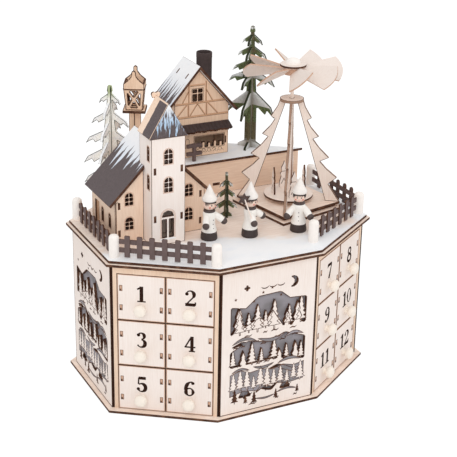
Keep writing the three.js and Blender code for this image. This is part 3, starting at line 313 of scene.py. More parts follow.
def yard(name, c):
    """Top of the box: snow round the rim and bare wood in the yard, with soft drifts between them."""
    paint = Paint(name)
    wood, streak = grained(paint, blended(c.pale, c.birch, 0.35), 0.8, LYING)
    wobble = (paint.noise(34, (1.5, 1, 1), 3) - 0.5) * 46 + (paint.noise(7, (2, 1, 1)) - 0.5) * 9
    front = paint.y + 54 + paint.x.ramp(-40, 40) * 34
    right = 146 - paint.x
    mask = 1 - (front + wobble).least(right + wobble * 0.6).ramp(-3, 12)
    dust = paint.noise(11, (2, 1, 1), 4).ramp(0.62, 0.8) * 0.5
    cold = paint.noise(16, (1.6, 1, 1), 3).ramp(0.45, 0.8)
    snow = paint.mix(cold * 0.4, c.snow[:], tint(c.snow, 0.84, 0.9, 0.97))
    return paint.finish(paint.mix(mask.most(dust), wood, snow), 0.72, streak)


def all_snow(name, c):
    paint = Paint(name)
    cold = paint.noise(18, (1.6, 1, 1), 4).ramp(0.4, 0.8)
    snow = paint.mix(cold * 0.55, c.snow[:], tint(c.snow, 0.76, 0.84, 0.95))
    return paint.finish(snow, 0.75, paint.noise(1.2))


def backing(name, c):
    paint = Paint(name)
    cloud = paint.noise(30, (1, 1, 0.7))
    face = paint.mix(cloud.ramp(0.3, 0.7), tint(c.backing, 0.75), tint(c.backing, 1.28, 1.28, 1.36))
    return paint.finish(face, 0.7, cloud, 0.02)


def spruce_paint(name, c, pale):
    """Painted spruce board: needles, a stem, and snow along the upper edge of every branch."""
    paint = Paint(name)
    needle, deep = ((0.9, 0.83, 0.75), 0.85) if pale else (c.needle[:], 0.45)
    bark = needle if pale else blended(needle, (0.13, 0.08, 0.05), 0.6)
    snow, strength = (tint(c.snow, 1.05), 0.95) if pale else (c.snow[:], 0.9)
    fine = paint.noise(0.8, (1, 1, 2.5), 3)
    ragged = (paint.noise(2.2, (1, 1, 1.5), 3) - 0.5) * 3.4
    band = 1 - (paint.attribute("depth") + ragged).ramp(1.0, 3.4)
    stem = paint.attribute("stem")
    body = paint.mix(fine.ramp(0.25, 0.8), tint(needle, deep), tint(needle, 1.7))
    trunk = paint.mix(fine.ramp(0.3, 0.7), tint(bark, deep + 0.1), tint(bark, 1.25))
    white = paint.mix(paint.noise(3).ramp(0.3, 0.7), snow, tint(snow, 0.82))
    face = paint.mix(band * strength * (1 - stem * 0.8), paint.mix(stem.ramp(0.4, 0.6), body, trunk), white)
    if pale:
        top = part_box("tree_pale")[1][2] / MM
        face = paint.mix(paint.z.ramp(top - 18, top - 6) * 0.85, face, tint(c.needle, 3.2))
    return paint.finish(face, 0.7, fine, 0.05)


# Plywoods: a share of birch in pale, a sidebar colour or a colour; its factor, contrast and grain
PLYWOODS = {
    "pale_ply": (0, 1, 0.28, UPRIGHT),
    "vane_ply": (0.1, 0.9, 0.35, UPRIGHT),
    "light_ply": (0.25, 1, 0.4, UPRIGHT),
    "plate_ply": (0.5, 1, 0.9, LYING),
    "birch_ply": (1.0, 1, 0.6, UPRIGHT),
    "wall_ply": (1.0, 1.02, 0.7, (14, 14, 1)),
    "frame_ply": (1.1, 0.93, 0.6, UPRIGHT),
    "timber_ply": ((0.88, 0.65, 0.48), 1, 0.7, UPRIGHT),
    # beams of the house, and also the painted shade inside the church
    "beam_ply": ((0.66, 0.4, 0.25), 1, 0.8, (1, 1, 5)),
    "scorched": ("scorch", 1, 0.8, UPRIGHT),
    "singed": ("scorch", 0.62, 0.8, UPRIGHT),
}
# Paints: a sidebar colour or a colour; its factors, wear, roughness and sheen
PAINTS = {
    # ink of the numerals, and also the painted shade up the corners of the cabinets
    "ink": ("burnt", (0.42,), 0.5, 0.7, 0.05),
    "dark_stain": ("fence", (1,), 0.7, 0.6, 0.2),
    "black_stain": ("fence", (0.42,), 0.7, 0.6, 0.15),
    "dark_needle": ((0.035, 0.04, 0.022), (1,), 0.7, 0.7, 0.1),
    "cream_paint": ("cream", (1,), 0.25, 0.4, 0.4),
    "knob_paint": ("cream", (1, 0.97, 0.91), 0.25, 0.4, 0.4),
    "hat_paint": ("cream", (0.94,), 0.35, 0.5, 0.4),
    "robe_paint": ("robe", (1,), 0.3, 0.45, 0.4),
    "boot_paint": ("boot", (1,), 0.6, 0.45, 0.4),
    "glove_paint": ("boot", (1.7,), 0.6, 0.4, 0.4),
    "face_paint": ("skin", (1,), 0.2, 0.4, 0.4),
    "cheek_paint": ((0.72, 0.25, 0.2), (1,), 0.3, 0.5, 0.4),
}
OTHERS = {
    "burnt_edge": burnt_edge, "backing": backing, "yard": yard, "all_snow": all_snow,
    "tower_roof": tower_roof,
    "nave_roof": lambda name, c: snowy_roof(name, c, CHURCH, 30, 10.5, 0.0),
    "house_roof": lambda name, c: snowy_roof(name, c, HOUSE, 42, 6.2, 3.1),
    "spruce": lambda name, c: spruce_paint(name, c, False),
    "pale_spruce": lambda name, c: spruce_paint(name, c, True),
}


def finish(name):
    """The finish of that name, made once from the colours in the sidebar."""
    title = name + "_finish"
    if title in bpy.data.materials:
        return bpy.data.materials[title]
    c = bpy.context.scene.calendar_colours
    if name in OTHERS:
        return OTHERS[name](title, c)
    base, factors, *rest = PLYWOODS.get(name) or PAINTS[name]
    if isinstance(base, (int, float)):
        base = blended(c.pale, c.birch, base)
    elif isinstance(base, str):
        base = getattr(c, base)[:]
    if name in PLYWOODS:
        return plywood(title, tint(base, factors), *rest)
    return painted(title, tint(base, *factors), *rest)


# Making meshes

class Place:
    """A flat place on the object, seen from outside: right and up along it, out away from it."""

    def __init__(self, origin, right=(1, 0, 0), up=(0, 0, 1)):
        self.origin = Vector(origin)
        self.right, self.up = Vector(right).normalized(), Vector(up).normalized()
        self.out = self.right.cross(self.up)

    def at(self, u, v, lift=0.0):
        return self.origin + self.right * u + self.up * v + self.out * lift


def arc(x, y, rx, ry, start, end, steps=12):
    angles = [radians(start + (end - start) * i / steps) for i in range(steps + 1)]
    return [(x + rx * cos(a), y + ry * sin(a)) for a in angles]


def box_outline(x0, y0, x1, y1):
    return [(x0, y0), (x1, y0), (x1, y1), (x0, y1)]


def circle(radius, sides):
    return [(radius * cos(2 * pi * i / sides), radius * sin(2 * pi * i / sides)) for i in range(sides)]


class Piece:
    """One mesh in the making, in millimetres, with its finishes."""

    def __init__(self, *names, crease=38):
        self.mesh, self.crease = bmesh.new(), crease
        self.finishes = [finish(name) for name in names]

    def skin(self, rings, slot=0, closed=True, smooth=False):
        """Faces between rings of points; a ring of one point closes an end."""
        rows = [[self.mesh.verts.new(point) for point in ring] for ring in rings]
        for low, high in zip(rows, rows[1:]):
            count = max(len(low), len(high))
            for i in range(count if closed else count - 1):
                j = (i + 1) % count
                corners = list(dict.fromkeys((low[i % len(low)], low[j % len(low)],
                                              high[j % len(high)], high[i % len(high)])))
                if len(corners) > 2:
                    face = self.mesh.faces.new(corners)
                    face.material_index, face.smooth = slot, smooth
        return rows

    def lids(self, rows, slot=0):
        """Closes both ends of a skin."""
        for row in (rows[0][::-1], rows[-1]):
            self.mesh.faces.new(row).material_index = slot

    def prism(self, place, outline, low, high, slot=0, side=None):
        """Board of that outline on a place, from low to high above it."""
        if sum(a[0] * b[1] - b[0] * a[1] for a, b in zip(outline, outline[1:] + outline[:1])) < 0:
            outline = outline[::-1]
        rows = self.skin([[place.at(u, v, lift) for u, v in outline] for lift in (low, high)],
                         slot if side is None else side)
        self.lids(rows, slot)

    def stroke(self, place, points, width, slot=0, closed=False, lift=0.06, sink=0.1):
        """Flat line through points, as wide as width says, or as wide as each number of a list says."""
        widths = width if isinstance(width, list) else [width] * len(points)
        rings = []
        for i, (x, y) in enumerate(points):
            before = points[i - 1] if closed or i else points[i]
            after = points[(i + 1) % len(points)] if closed or i < len(points) - 1 else points[i]
            first = Vector((x - before[0], y - before[1]))
            second = Vector((after[0] - x, after[1] - y))
            first, second = (way.normalized() if way.length > 1e-9 else other.normalized()
                             for way, other in ((first, second), (second, first)))
            lean = first + second
            lean = lean.normalized() if lean.length > 0.1 else first
            spread = widths[i] / 2 / max(0.5, lean.dot(first))
            left, right = ((x - side * lean.y * spread, y + side * lean.x * spread) for side in (1, -1))
            rings.append([place.at(*left, lift), place.at(*left, -sink),
                          place.at(*right, -sink), place.at(*right, lift)])
        rows = self.skin(rings + ([rings[0]] if closed else []), slot)
        if not closed:
            self.lids(rows, slot)

    def lathe(self, centre, profile, sides=32, slot=0, tilt=None, slots=None):
        """Turned piece about its own Z through centre, from a profile of radius and height."""
        turn = tilt or Matrix.Identity(3)
        rings = [[Vector(centre) + turn @ Vector((*point, height))
                  for point in (circle(radius, sides) if radius > 1e-6 else [(0, 0)])]
                 for radius, height in profile]
        start = len(self.mesh.faces)
        self.skin(rings, slot, smooth=True)
        if slots:
            self.mesh.faces.ensure_lookup_table()
            for face in self.mesh.faces[start:]:
                middle = turn.inverted() @ (face.calc_center_median() - Vector(centre))
                face.material_index = next(s for limit, s in slots if middle.z < limit)

    def ball(self, centre, radius, slot=0, sides=20, squash=1.0):
        steps = max(6, sides // 2)
        profile = [(radius * sin(pi * i / steps) if 0 < i < steps else 0,
                    -radius * squash * cos(pi * i / steps)) for i in range(steps + 1)]
        self.lathe(centre, profile, sides, slot)

    def tube(self, points, radii, sides=10, slot=0):
        """Round limb through points, closed at both ends."""
        rings = []
        points = [Vector(p) for p in points]
        for i, point in enumerate(points):
            way = (points[min(i + 1, len(points) - 1)] - points[max(i - 1, 0)]).normalized()
            across = across - way * across.dot(way) if rings else way.orthogonal()
            across.normalize()
            over = way.cross(across)
            rings.append([point + across * x + over * y for x, y in circle(radii[i], sides)])
        self.skin([[points[0]]] + rings + [[points[-1]]], slot, smooth=True)

    def board(self, node, pick=None):
        """Copy of a CAD board with its sawn edges told apart, and softened and burnt along their rims."""
        part = cad_part(node)
        for face in part.faces:
            face.material_index = (pick(face) if pick else None) or int(breadth(face) < EDGE)
        sharp = [e for e in part.edges if e.is_manifold and e.calc_face_angle() > radians(40)
                 and e.calc_length() > 0.9]
        width = bpy.context.scene.calendar_sizes.bevel / MM
        bmesh.ops.bevel(part, geom=sharp, offset=width, segments=1, affect="EDGES", clamp_overlap=True,
                        material=self.finishes.index(finish("burnt_edge")))
        self.take(part)

    def take(self, part):
        """Adds another bmesh to this one."""
        copied = {v: self.mesh.verts.new(v.co) for v in part.verts}
        for face in part.faces:
            try:
                copy = self.mesh.faces.new([copied[v] for v in face.verts])
            except ValueError:  # a face that the bevel made twice
                continue
            copy.material_index, copy.smooth = face.material_index, face.smooth
        part.free()

    def take_mesh(self, mesh):
        """Adds a finished mesh in metres whose finishes are among this piece's own."""
        part = bmesh.new()
        part.from_mesh(mesh)
        bmesh.ops.scale(part, vec=(1 / MM,) * 3, verts=part.verts)
        for face in part.faces:
            face.material_index = self.finishes.index(mesh.materials[face.material_index])
        bpy.data.meshes.remove(mesh)
        self.take(part)

    def to_mesh(self, name):
        mesh = bpy.data.meshes.new(name)
        bmesh.ops.scale(self.mesh, vec=(MM,) * 3, verts=self.mesh.verts)
        self.mesh.to_mesh(mesh)
        self.mesh.free()
        for material in self.finishes:
            mesh.materials.append(material)
        mesh.set_sharp_from_angle(angle=radians(self.crease))
        return mesh

    def publish(self, name, nodes=(), body="calendar"):
        """Puts the finished piece in the scene, on its body and in place of the CAD nodes named."""
        piece = bpy.data.objects.new(name, self.to_mesh(name))
        bpy.context.scene.collection.objects.link(piece)
        if nodes:
            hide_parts(*nodes)
        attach(piece, body)


def cad_part(node):
    """A CAD node in millimetres, with its flat faces whole."""
    part = bmesh.new()
    part.from_mesh(frame["nodes"][node].data)
    bmesh.ops.scale(part, vec=(1 / MM,) * 3, verts=part.verts)
    bmesh.ops.remove_doubles(part, verts=part.verts, dist=1e-3)
    bmesh.ops.dissolve_limit(part, angle_limit=radians(0.6), verts=part.verts, edges=part.edges)
    part.normal_update()
    return part


def breadth(face):
    """Least width of a flat face."""
    least = 1e9
    for edge in face.edges:
        along = edge.verts[1].co - edge.verts[0].co
        if along.length > 0.4:
            across = face.normal.cross(along.normalized())
            spans = [v.co.dot(across) for v in face.verts]
            least = min(least, max(spans) - min(spans))
    return least


# Geometry Nodes that repeat a piece round an axis or along a line

def copies_tree(name, ring):
    """Copies of a mesh, on a ring about Z or in a row, with their faces and edges finished."""
    group = bpy.data.node_groups.new(name, "GeometryNodeTree")
    kinds = {"Geometry": "Geometry", "Count": "Int", "First": "Vector", "Step": "Vector", "Turn": "Float",
             "Unevenness": "Float", "Seed": "Int", "Face": "Material", "Edge": "Material"}
    for title, kind in kinds.items():
        group.interface.new_socket(name=title, in_out="INPUT", socket_type="NodeSocket" + kind)
    group.interface.new_socket(name="Geometry", in_out="OUTPUT", socket_type="NodeSocketGeometry")
    tree = Tree(group)
    given = {socket.name: socket for socket in tree.add("NodeGroupInput").outputs}
    turn = Wire(tree, given["Turn"])
    sway = tree.add("FunctionNodeRandomValue", {"data_type": "FLOAT"}, Seed=given["Seed"])
    lean = (Wire(tree, sway.outputs[1]) - 0.5) * Wire(tree, given["Unevenness"])
    if ring:
        points = tree.add("GeometryNodePoints", Count=given["Count"])
        number = Wire(tree, tree.add("GeometryNodeInputIndex").outputs[0])
        angle = number * (2 * pi) / Wire(tree, given["Count"]) + turn
        spin = tree.add("ShaderNodeCombineXYZ", X=lean, Z=angle)
    else:
        points = tree.add("GeometryNodeMeshLine", {"mode": "OFFSET"}, Count=given["Count"],
                          Offset=given["Step"])
        spin = tree.add("ShaderNodeCombineXYZ", Y=lean, Z=turn)
    put = tree.add("GeometryNodeInstanceOnPoints", Points=points.outputs[0], Instance=given["Geometry"],
                   Rotation=spin.outputs[0])
    moved = tree.add("GeometryNodeTransform", Geometry=put.outputs[0], Translation=given["First"])
    real = tree.add("GeometryNodeRealizeInstances", Geometry=moved.outputs[0])
    faced = tree.add("GeometryNodeSetMaterial", Geometry=real.outputs[0], Material=given["Face"])
    sawn = tree.add("GeometryNodeInputNamedAttribute", {"data_type": "BOOLEAN"}, Name="sawn")
    edged = tree.add("GeometryNodeSetMaterial", Geometry=faced.outputs[0], Selection=sawn.outputs[0],
                     Material=given["Edge"])
    tree.add("NodeGroupOutput", Geometry=edged.outputs[0])
    return group


def copies(piece, count, first, step=None, turn=0.0, unevenness=0.0, seed=1):
    """Mesh of copies of a piece, in a row of that step or on a ring about first.

    The piece has two finishes, of its faces and of its sawn edges.
    """
    name = "ring_of_copies" if step is None else "row_of_copies"
    values = {"Count": count, "First": tuple(first * MM), "Step": tuple(Vector(step or (0, 0, 0)) * MM),
              "Turn": turn, "Unevenness": unevenness, "Seed": seed,
              "Face": piece.finishes[0], "Edge": piece.finishes[1]}
    mesh = piece.to_mesh("copied")
    marks = mesh.attributes.new("sawn", "BOOLEAN", "FACE")
    marks.data.foreach_set("value", [polygon.material_index == 1 for polygon in mesh.polygons])
    holder = bpy.data.objects.new("copied", mesh)
    bpy.context.scene.collection.objects.link(holder)
    modifier = holder.modifiers.new("copies", "NODES")
    modifier.node_group = bpy.data.node_groups.get(name) or copies_tree(name, step is None)
    for item in modifier.node_group.interface.items_tree:
        if item.in_out == "INPUT" and item.name in values:
            modifier[item.identifier] = values[item.name]
    depsgraph = bpy.context.evaluated_depsgraph_get()
    result = bpy.data.meshes.new_from_object(holder.evaluated_get(depsgraph), depsgraph=depsgraph)
    bpy.data.objects.remove(holder)
    bpy.data.meshes.remove(mesh)
    return result


# Small shapes that several pieces share

def slab(piece, place, half, tall, thick, chamfer):
    """Board behind a place, with its outer rim softened."""
    full = box_outline(-half, 0, half, tall)
    small = box_outline(chamfer - half, chamfer, half - chamfer, tall - chamfer)
    rings = ((full, -thick), (full, -chamfer), (small, 0))
    rows = piece.skin([[place.at(u, v, lift) for u, v in ring] for ring, lift in rings], 1)
    piece.lids(rows)


def tray(piece, place, half, front, back, low, high, wall, slot):
    """Open box with its floor at low, from front to back behind a place."""
    outer = box_outline(-half, front, half, back)
    inner = box_outline(wall - half, front + wall, half - wall, back - wall)
    rows = piece.skin([[place.at(u, z, -v) for u, v in outline] for outline, z in
                       ((outer, low), (outer, high), (inner, high), (inner, low + wall))], slot)
    piece.lids(rows, slot)


def mark(piece, place, x, y, half_x, half_y, slot, line):
    """Slot mark of a tenon: a filled rectangle in a thin burnt line, and a darker patch in its lower corner
    that is painted shade inside the slot.
    """
    outline = box_outline(x - half_x, y - half_y, x + half_x, y + half_y)
    piece.prism(place, outline, -0.15, 0.05, slot)
    piece.stroke(place, outline, 0.5, line, closed=True, lift=0.08)
    # a darker patch in the lower corner: painted shade inside the slot
    shade = box_outline(x - half_x, y - half_y, x + half_x * 0.4, y - half_y * 0.25)
    piece.prism(place, shade, -0.1, 0.1, line)


def tenon(piece, place, x, y, half_x, half_y):
    """Burnt end of a tenon."""
    piece.prism(place, box_outline(x - half_x, y - half_y, x + half_x, y + half_y), -0.15, 0.06, 1)


def arched(x, sill, width, height, grow=0.0):
    half = width / 2
    top = arc(x, sill + height - half, half + grow, half + grow, 0, 180, 8)
    return [(x - half - grow, sill - grow), (x + half + grow, sill - grow), *top]


def window_trim(piece, place, x, sill, width, height):
    """Engraved frame round an arched window."""
    for grow, line, lift in ((1.1, 0.45, 0.06), (0.25, 0.35, 0.07)):
        piece.stroke(place, arched(x, sill, width, height, grow), line, 2, closed=True, lift=lift)


# Numerals in a fat and thin style: strokes and their widths, in shares of the numeral's height
FAT, FULL, THIN = 0.21, 0.19, 0.085
SWELL = [THIN, THIN, 0.08, 0.11, 0.14, FULL, FAT, FAT, FAT, FAT, FULL]
DIGITS = {
    "0": [(arc(0, 0.5, 0.22, 0.44, 0, 360, 20),
           [FAT, 0.15, 0.1, THIN, 0.06, THIN, 0.06, THIN, 0.1, 0.15] * 3)],
    "1": [([(0.02, 0.02), (0.02, 0.97)], FAT), ([(-0.22, 0.78), (0.02, 0.93)], 0.1),
          ([(-0.22, 0.035), (0.26, 0.035)], 0.08)],
    "2": [(arc(0, 0.7, 0.22, 0.24, 160, -45),
           [0.1, 0.08, 0.07, 0.07, 0.08, 0.1, 0.13, 0.17, FAT, FAT, 0.18, 0.15, 0.12]),
          ([(0.16, 0.54), (-0.2, 0.12)], 0.08), ([(-0.28, 0.08), (0.28, 0.08)], FULL),
          ([(0.28, 0.04), (0.3, 0.25)], THIN)],
    "3": [(arc(-0.02, 0.74, 0.19, 0.2, 150, -85),
           [THIN, THIN, THIN, 0.08, 0.1, 0.14, FULL, FULL, FULL, 0.14, 0.1, 0.08, THIN]),
          (arc(-0.02, 0.28, 0.23, 0.24, 85, -155, 14),
           [THIN, 0.09, 0.13, 0.17, FAT, FAT, FAT, FAT, 0.17, 0.13, 0.1, 0.08, 0.07, THIN, THIN])],
    "4": [([(0.12, 0.02), (0.12, 0.98)], FULL), ([(0.08, 0.95), (-0.26, 0.31)], THIN),
          ([(-0.31, 0.3), (0.32, 0.3)], 0.09), ([(-0.06, 0.035), (0.3, 0.035)], 0.08)],
    "5": [([(-0.18, 0.91), (0.24, 0.91)], FULL), ([(-0.18, 0.94), (-0.2, 0.5)], THIN),
          (arc(-0.02, 0.29, 0.24, 0.26, 130, -150, 16),
           [THIN, 0.08, 0.1, 0.13, FULL, FAT, FAT, FAT, FAT, FAT,
            FULL, 0.13, 0.1, 0.08, THIN, THIN, THIN])],
    "6": [(arc(0, 0.28, 0.21, 0.24, 0, 360, 18),
           [FULL, 0.15, 0.11, 0.08, THIN, THIN, 0.08, 0.12, FULL, FAT,
            FAT, 0.15, 0.1, THIN, THIN, 0.08, 0.11, 0.15, FULL]),
          (arc(0.12, 0.42, 0.34, 0.52, 80, 185, 10), SWELL)],
    "7": [([(-0.25, 0.9), (0.27, 0.9)], FULL), ([(-0.25, 0.96), (-0.25, 0.74)], THIN),
          ([(0.25, 0.88), (-0.05, 0.02)], [THIN, FAT])],
    "8": [(arc(0, 0.73, 0.18, 0.19, 0, 360, 16), 0.13), (arc(0, 0.27, 0.23, 0.24, 0, 360, 18), 0.16)],
    "9": [(arc(0, 0.72, 0.21, 0.24, 0, 360, 18),
           [FAT, 0.15, 0.11, 0.08, THIN, THIN, 0.08, 0.12, FULL, FULL,
            FULL, 0.15, 0.1, THIN, THIN, 0.08, 0.11, 0.15, FAT]),
          (arc(-0.12, 0.58, 0.34, 0.52, -100, 5, 10), SWELL)],
}
BALLS = {"2": (-0.19, 0.74), "3": (-0.17, 0.81), "5": (-0.21, 0.19), "6": (0.19, 0.86), "9": (-0.19, 0.14)}


def numeral(piece, place, text, x, y, height, slot):
    for i, sign in enumerate(text):
        left = x + (i - (len(text) - 1) / 2) * height * 0.64
        for step, (points, width) in enumerate(DIGITS[sign]):
            spots = [(left + px * height, y + py * height) for px, py in points]
            ring = dist(spots[0], spots[-1]) < 1e-6
            spots = spots[:-1] if ring else spots
            widths = [w * height for w in width[:len(spots)]] if isinstance(width, list) else width * height
            piece.stroke(place, spots, widths, slot, closed=ring, lift=0.07 + 0.004 * step)
        if sign in BALLS:
            bx, by, radius = (share * height for share in (*BALLS[sign], 0.1))
            piece.prism(place, arc(left + bx, y + by, radius, radius, 0, 345, 14), -0.1, 0.085, slot)


def spruce_outline(x, foot, tall, spread, tiers):
    """Spruce with toothed branches, its foot at x."""
    trunk = tall * 0.12
    side = [(spread * 0.1, 0), (spread * 0.1, trunk)]
    for i in range(tiers):
        low, reach = trunk + (tall - trunk) * i / tiers, spread * (1 - i / (tiers + 0.5))
        side += [(reach, low), (reach * 0.45, low + (tall - trunk) / tiers * 0.7)]
    side = side[:-1] + [(0, tall)]
    return [(x + a, foot + b) for a, b in side] + [(x - a, foot + b) for a, b in side[-2::-1]]


def rims(piece, node, width, slot=1, wanted=None):
    """Burnt lines along the sawn rims of a board's broad faces, or of those wanted."""
    part = cad_part(node)
    for face in part.faces:
        if breadth(face) < EDGE or wanted and not wanted(face):
            continue
        for loop in face.loops:
            a, b = loop.vert.co, loop.link_loop_next.vert.co
            long = (b - a).length
            if long < 0.25 or loop.edge.calc_face_angle() < radians(40):
                continue
            way = (b - a).normalized()
            cut = min(width * 0.6, long * 0.4)
            piece.prism(Place(a, way, face.normal.cross(way)),
                        [(0, 0), (long, 0), (long - cut, width), (cut, width)], -0.1, 0.035, slot)
    part.free()


def standing(face):
    return abs(face.normal.z) < 0.5


# Wood of a pierced panel. X is in millimetres from its middle, Z from 0 at the foot to 1 at the top.
PANEL_HALF = 47
BACK_TREES = (                          # x, z and height
    (-36, 0.62, 32), (-25, 0.63, 24), (-14, 0.62, 34), (-4, 0.64, 22), (7, 0.62, 36), (26, 0.63, 25),
    (41, 0.63, 33), (-44, 0.35, 22), (-20, 0.345, 28), (-8, 0.35, 18), (8, 0.35, 27), (24, 0.33, 20),
    (43, 0.31, 22))
DARK_TREES = ((-41, 0.0, 19), (-27, -0.02, 12), (-16, -0.035, 17), (12, -0.03, 13), (40, -0.02, 11))
LAKE = ((-PANEL_HALF, 0.26), (-34, 0.285), (-22, 0.25), (-8, 0.262), (6, 0.24), (20, 0.262), (34, 0.235),
        (PANEL_HALF, 0.25), (PANEL_HALF, 0.1), (26, 0.085), (6, 0.12), (-12, 0.075), (-30, 0.1),
        (-PANEL_HALF, 0.07))
DRIFTS = (                              # x, z, width, thickness and bend
    (-30, 0.52, 30, 3.6, 5), (4, 0.535, 34, 4.4, -5), (33, 0.5, 24, 3.4, 4), (-34, 0.275, 22, 2.6, 3),
    (-5, 0.295, 26, 3.2, -3), (28, 0.28, 30, 3.6, 4), (-2, 0.01, 24, 2.0, -2), (26, 0.02, 26, 2.2, 3))
TUFTS, TUFT_ROWS = 22, (0.475, 0.565, 0.505, 0.31, 0.055, -0.04)  # tufts of grass, and their Z in turn
WISP = [0.3, 0.7, 1.0, 1.2, 1.2, 1.2, 1.0, 0.7, 0.3]  # widths of a wisp of cloud along its length


def woods(piece, place):
    """Finer cut-outs of a pierced panel: more spruces before the backing, and a wood below the lake."""
    chance = random.Random(5)
    wood, line, sheet = 0, 1, 2

    def at(z):
        return 12 + 146 * z

    def inlay(shape, high, slot, width, lift, low=-0.1):
        piece.prism(place, shape, low, high, slot)
        piece.stroke(place, shape, width, line, closed=True, lift=lift)

    for x, z, height in BACK_TREES:
        shape = spruce_outline(x, at(z) - 4, height, height * 0.25, 5)
        piece.prism(place, shape, -2.95, -0.02, wood, line)
        piece.stroke(place, [(x + (a - x) * 0.86, b) for a, b in shape], 0.75, line, closed=True, lift=0.05)
    inlay([(x, at(z)) for x, z in LAKE], 0.03, sheet, 0.8, 0.04, -0.2)
    for i in range(11):
        x, height = -43 + i * 8.6, 17 + chance.random() * 11
        shape = spruce_outline(x, at(0.085) + chance.random() * 4, height, height * 0.25, 5)
        inlay(shape, 0.05 + i * 0.002, wood, 0.62, 0.08 + i * 0.002)
    for x, z, height in DARK_TREES:
        piece.prism(place, spruce_outline(x, at(z), height, height * 0.26, 4), -0.1, 0.06, line)
    for x, z, wide, thick, bend in DRIFTS:
        drift = []
        for side, steps in ((0.5, range(11)), (-0.5, range(9, 0, -1))):
            for step in steps:
                swell = sin(pi * step / 10)
                middle = at(z) + bend * swell
                drift.append((x + wide * (step / 10 - 0.5), middle + side * thick * swell ** 0.7))
        inlay(drift, 0.06, sheet, 0.75, 0.1)
    for i in range(TUFTS):
        x = -44 + (i * 37) % 82
        z = TUFT_ROWS[i % len(TUFT_ROWS)] + chance.random() * 0.012
        bend = 1.6 + chance.random() * 2
        tuft = [(x + bend * run, at(z) + rise) for run, rise in ((0, 0), (1, 1.4), (2.2, 0.5), (3, 2.1))]
        piece.stroke(place, tuft, [0.4, 1.6, 1.2, 0.3], line, lift=0.12 + i * 0.001)
    for i in range(8):
        x, z = -42 + i * 11.3, 0.9 + 0.05 * sin(i * 2.1) + chance.random() * 0.02
        if abs(x - 29) > 9 and abs(x + 28) > 5:  # clear of the moon and of the star
            angles = [(2.1 if k % 2 == 0 else 0.9, pi * k / 5 + 0.3) for k in range(10)]
            star = [(x + r * cos(a), at(z) + r * sin(a)) for r, a in angles]
            piece.prism(place, star, -0.1, 0.05, line)
    for x in (-6, 4, 14):
        piece.stroke(place, arc(x, at(0.975), 5, 3.4, 200, 340, 8), WISP, line, lift=0.11)


def wooden(node, *names, pick=None, extra=None):
    """Copy of a CAD board in finishes of its face and its edges, and of what extra draws on it."""
    piece = Piece(*names)
    piece.board(node, pick)
    if extra:
        extra(piece)
    piece.publish(node + "_wood", (node,), "calendar")


def flanked(face):
    """The edge's finish for the upright ends of a roof."""
    return 1 if abs(face.normal.y) > 0.9 else None


class CALENDAR_OT_box(bpy.types.Operator):
    """Plates, pierced panels and drawer cabinets of the box"""

    bl_idname = "calendar.box"
    bl_label = "Box"

    def execute(self, context):
        for node, face in (("base_plate", "plate_ply"), ("deck_board", "plate_ply"), ("snow_board", "yard")):
            wooden(node, face, "burnt_edge")
        for side, x, y in (("front", 0, -1), ("right", 1, 0), ("back", 0, 1), ("left", -1, 0)):
            self.panel("panel_" + side, Vector((x, y, 0)))
        for i, corner in enumerate(("front_left", "front_right", "back_right", "back_left")):
            self.cabinet("cabinet_" + corner, Vector(SLIDES["drawer_%02d" % (6 * i + 1)]))
        return {"FINISHED"}

    def panel(self, node, out):
        face = max(Vector(corner).dot(out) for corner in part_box(node)) / MM
        sheet = 3  # depth of the backing sheet

        def outward(part, low, high):
            """Whether a face looks out, and lies that far behind the panel's own."""
            return part.normal.dot(out) > 0.9 and low < face - part.calc_center_median().dot(out) < high

        def cuts(piece):
            rims(piece, node, 0.9, 1, lambda part: outward(part, -1, 0.1))
            woods(piece, Place(out * face + FOOT, (-out.y, out.x, 0)))
        wooden(node, "pale_ply", "burnt_edge", "backing", extra=cuts,
               pick=lambda part: 2 if outward(part, sheet - 0.2, sheet + 0.2) else None)

    def cabinet(self, node, out):
        right = Vector((-out.y, out.x, 0))
        spots = [v.co / MM for v in frame["nodes"][node].data.vertices]
        face = max(s.dot(out) for s in spots)
        ends = [s.dot(right) for s in spots if s.dot(out) > face - 0.5]
        strip = 2.6  # width of the dark strip up each corner, painted shade of the gap beside the panel

        # dark strips up both ends of the cabinet's front: painted shade of the gaps beside the pierced panels
        def corners(piece):
            place = Place(out * face + FOOT, right)
            for near, far in ((min(ends), min(ends) + strip), (max(ends) - strip, max(ends))):
                piece.prism(place, box_outline(near, 0.2, far, 179.2), -0.2, 0.05, 2)
        wooden(node, "frame_ply", "scorched", "ink", "burnt_edge", extra=corners)


# Turned profiles: radius, and height from the wall or the ground
KNOB = [(0, -0.8), (4.3, -0.8), (4.1, 0.4), (3.2, 1.4), (3.3, 2.6), (5.2, 3.9), (6.7, 5.3), (7.25, 7.0),
        (7.05, 8.8), (6.0, 10.5), (4.3, 11.5), (2.2, 11.95), (0, 12)]
POST = [(0, 0), (5.6, 0), (5.75, 0.8), (5.75, 21.5), (5.4, 23.6), (4.2, 25.2), (2.2, 25.9), (0, 26)]


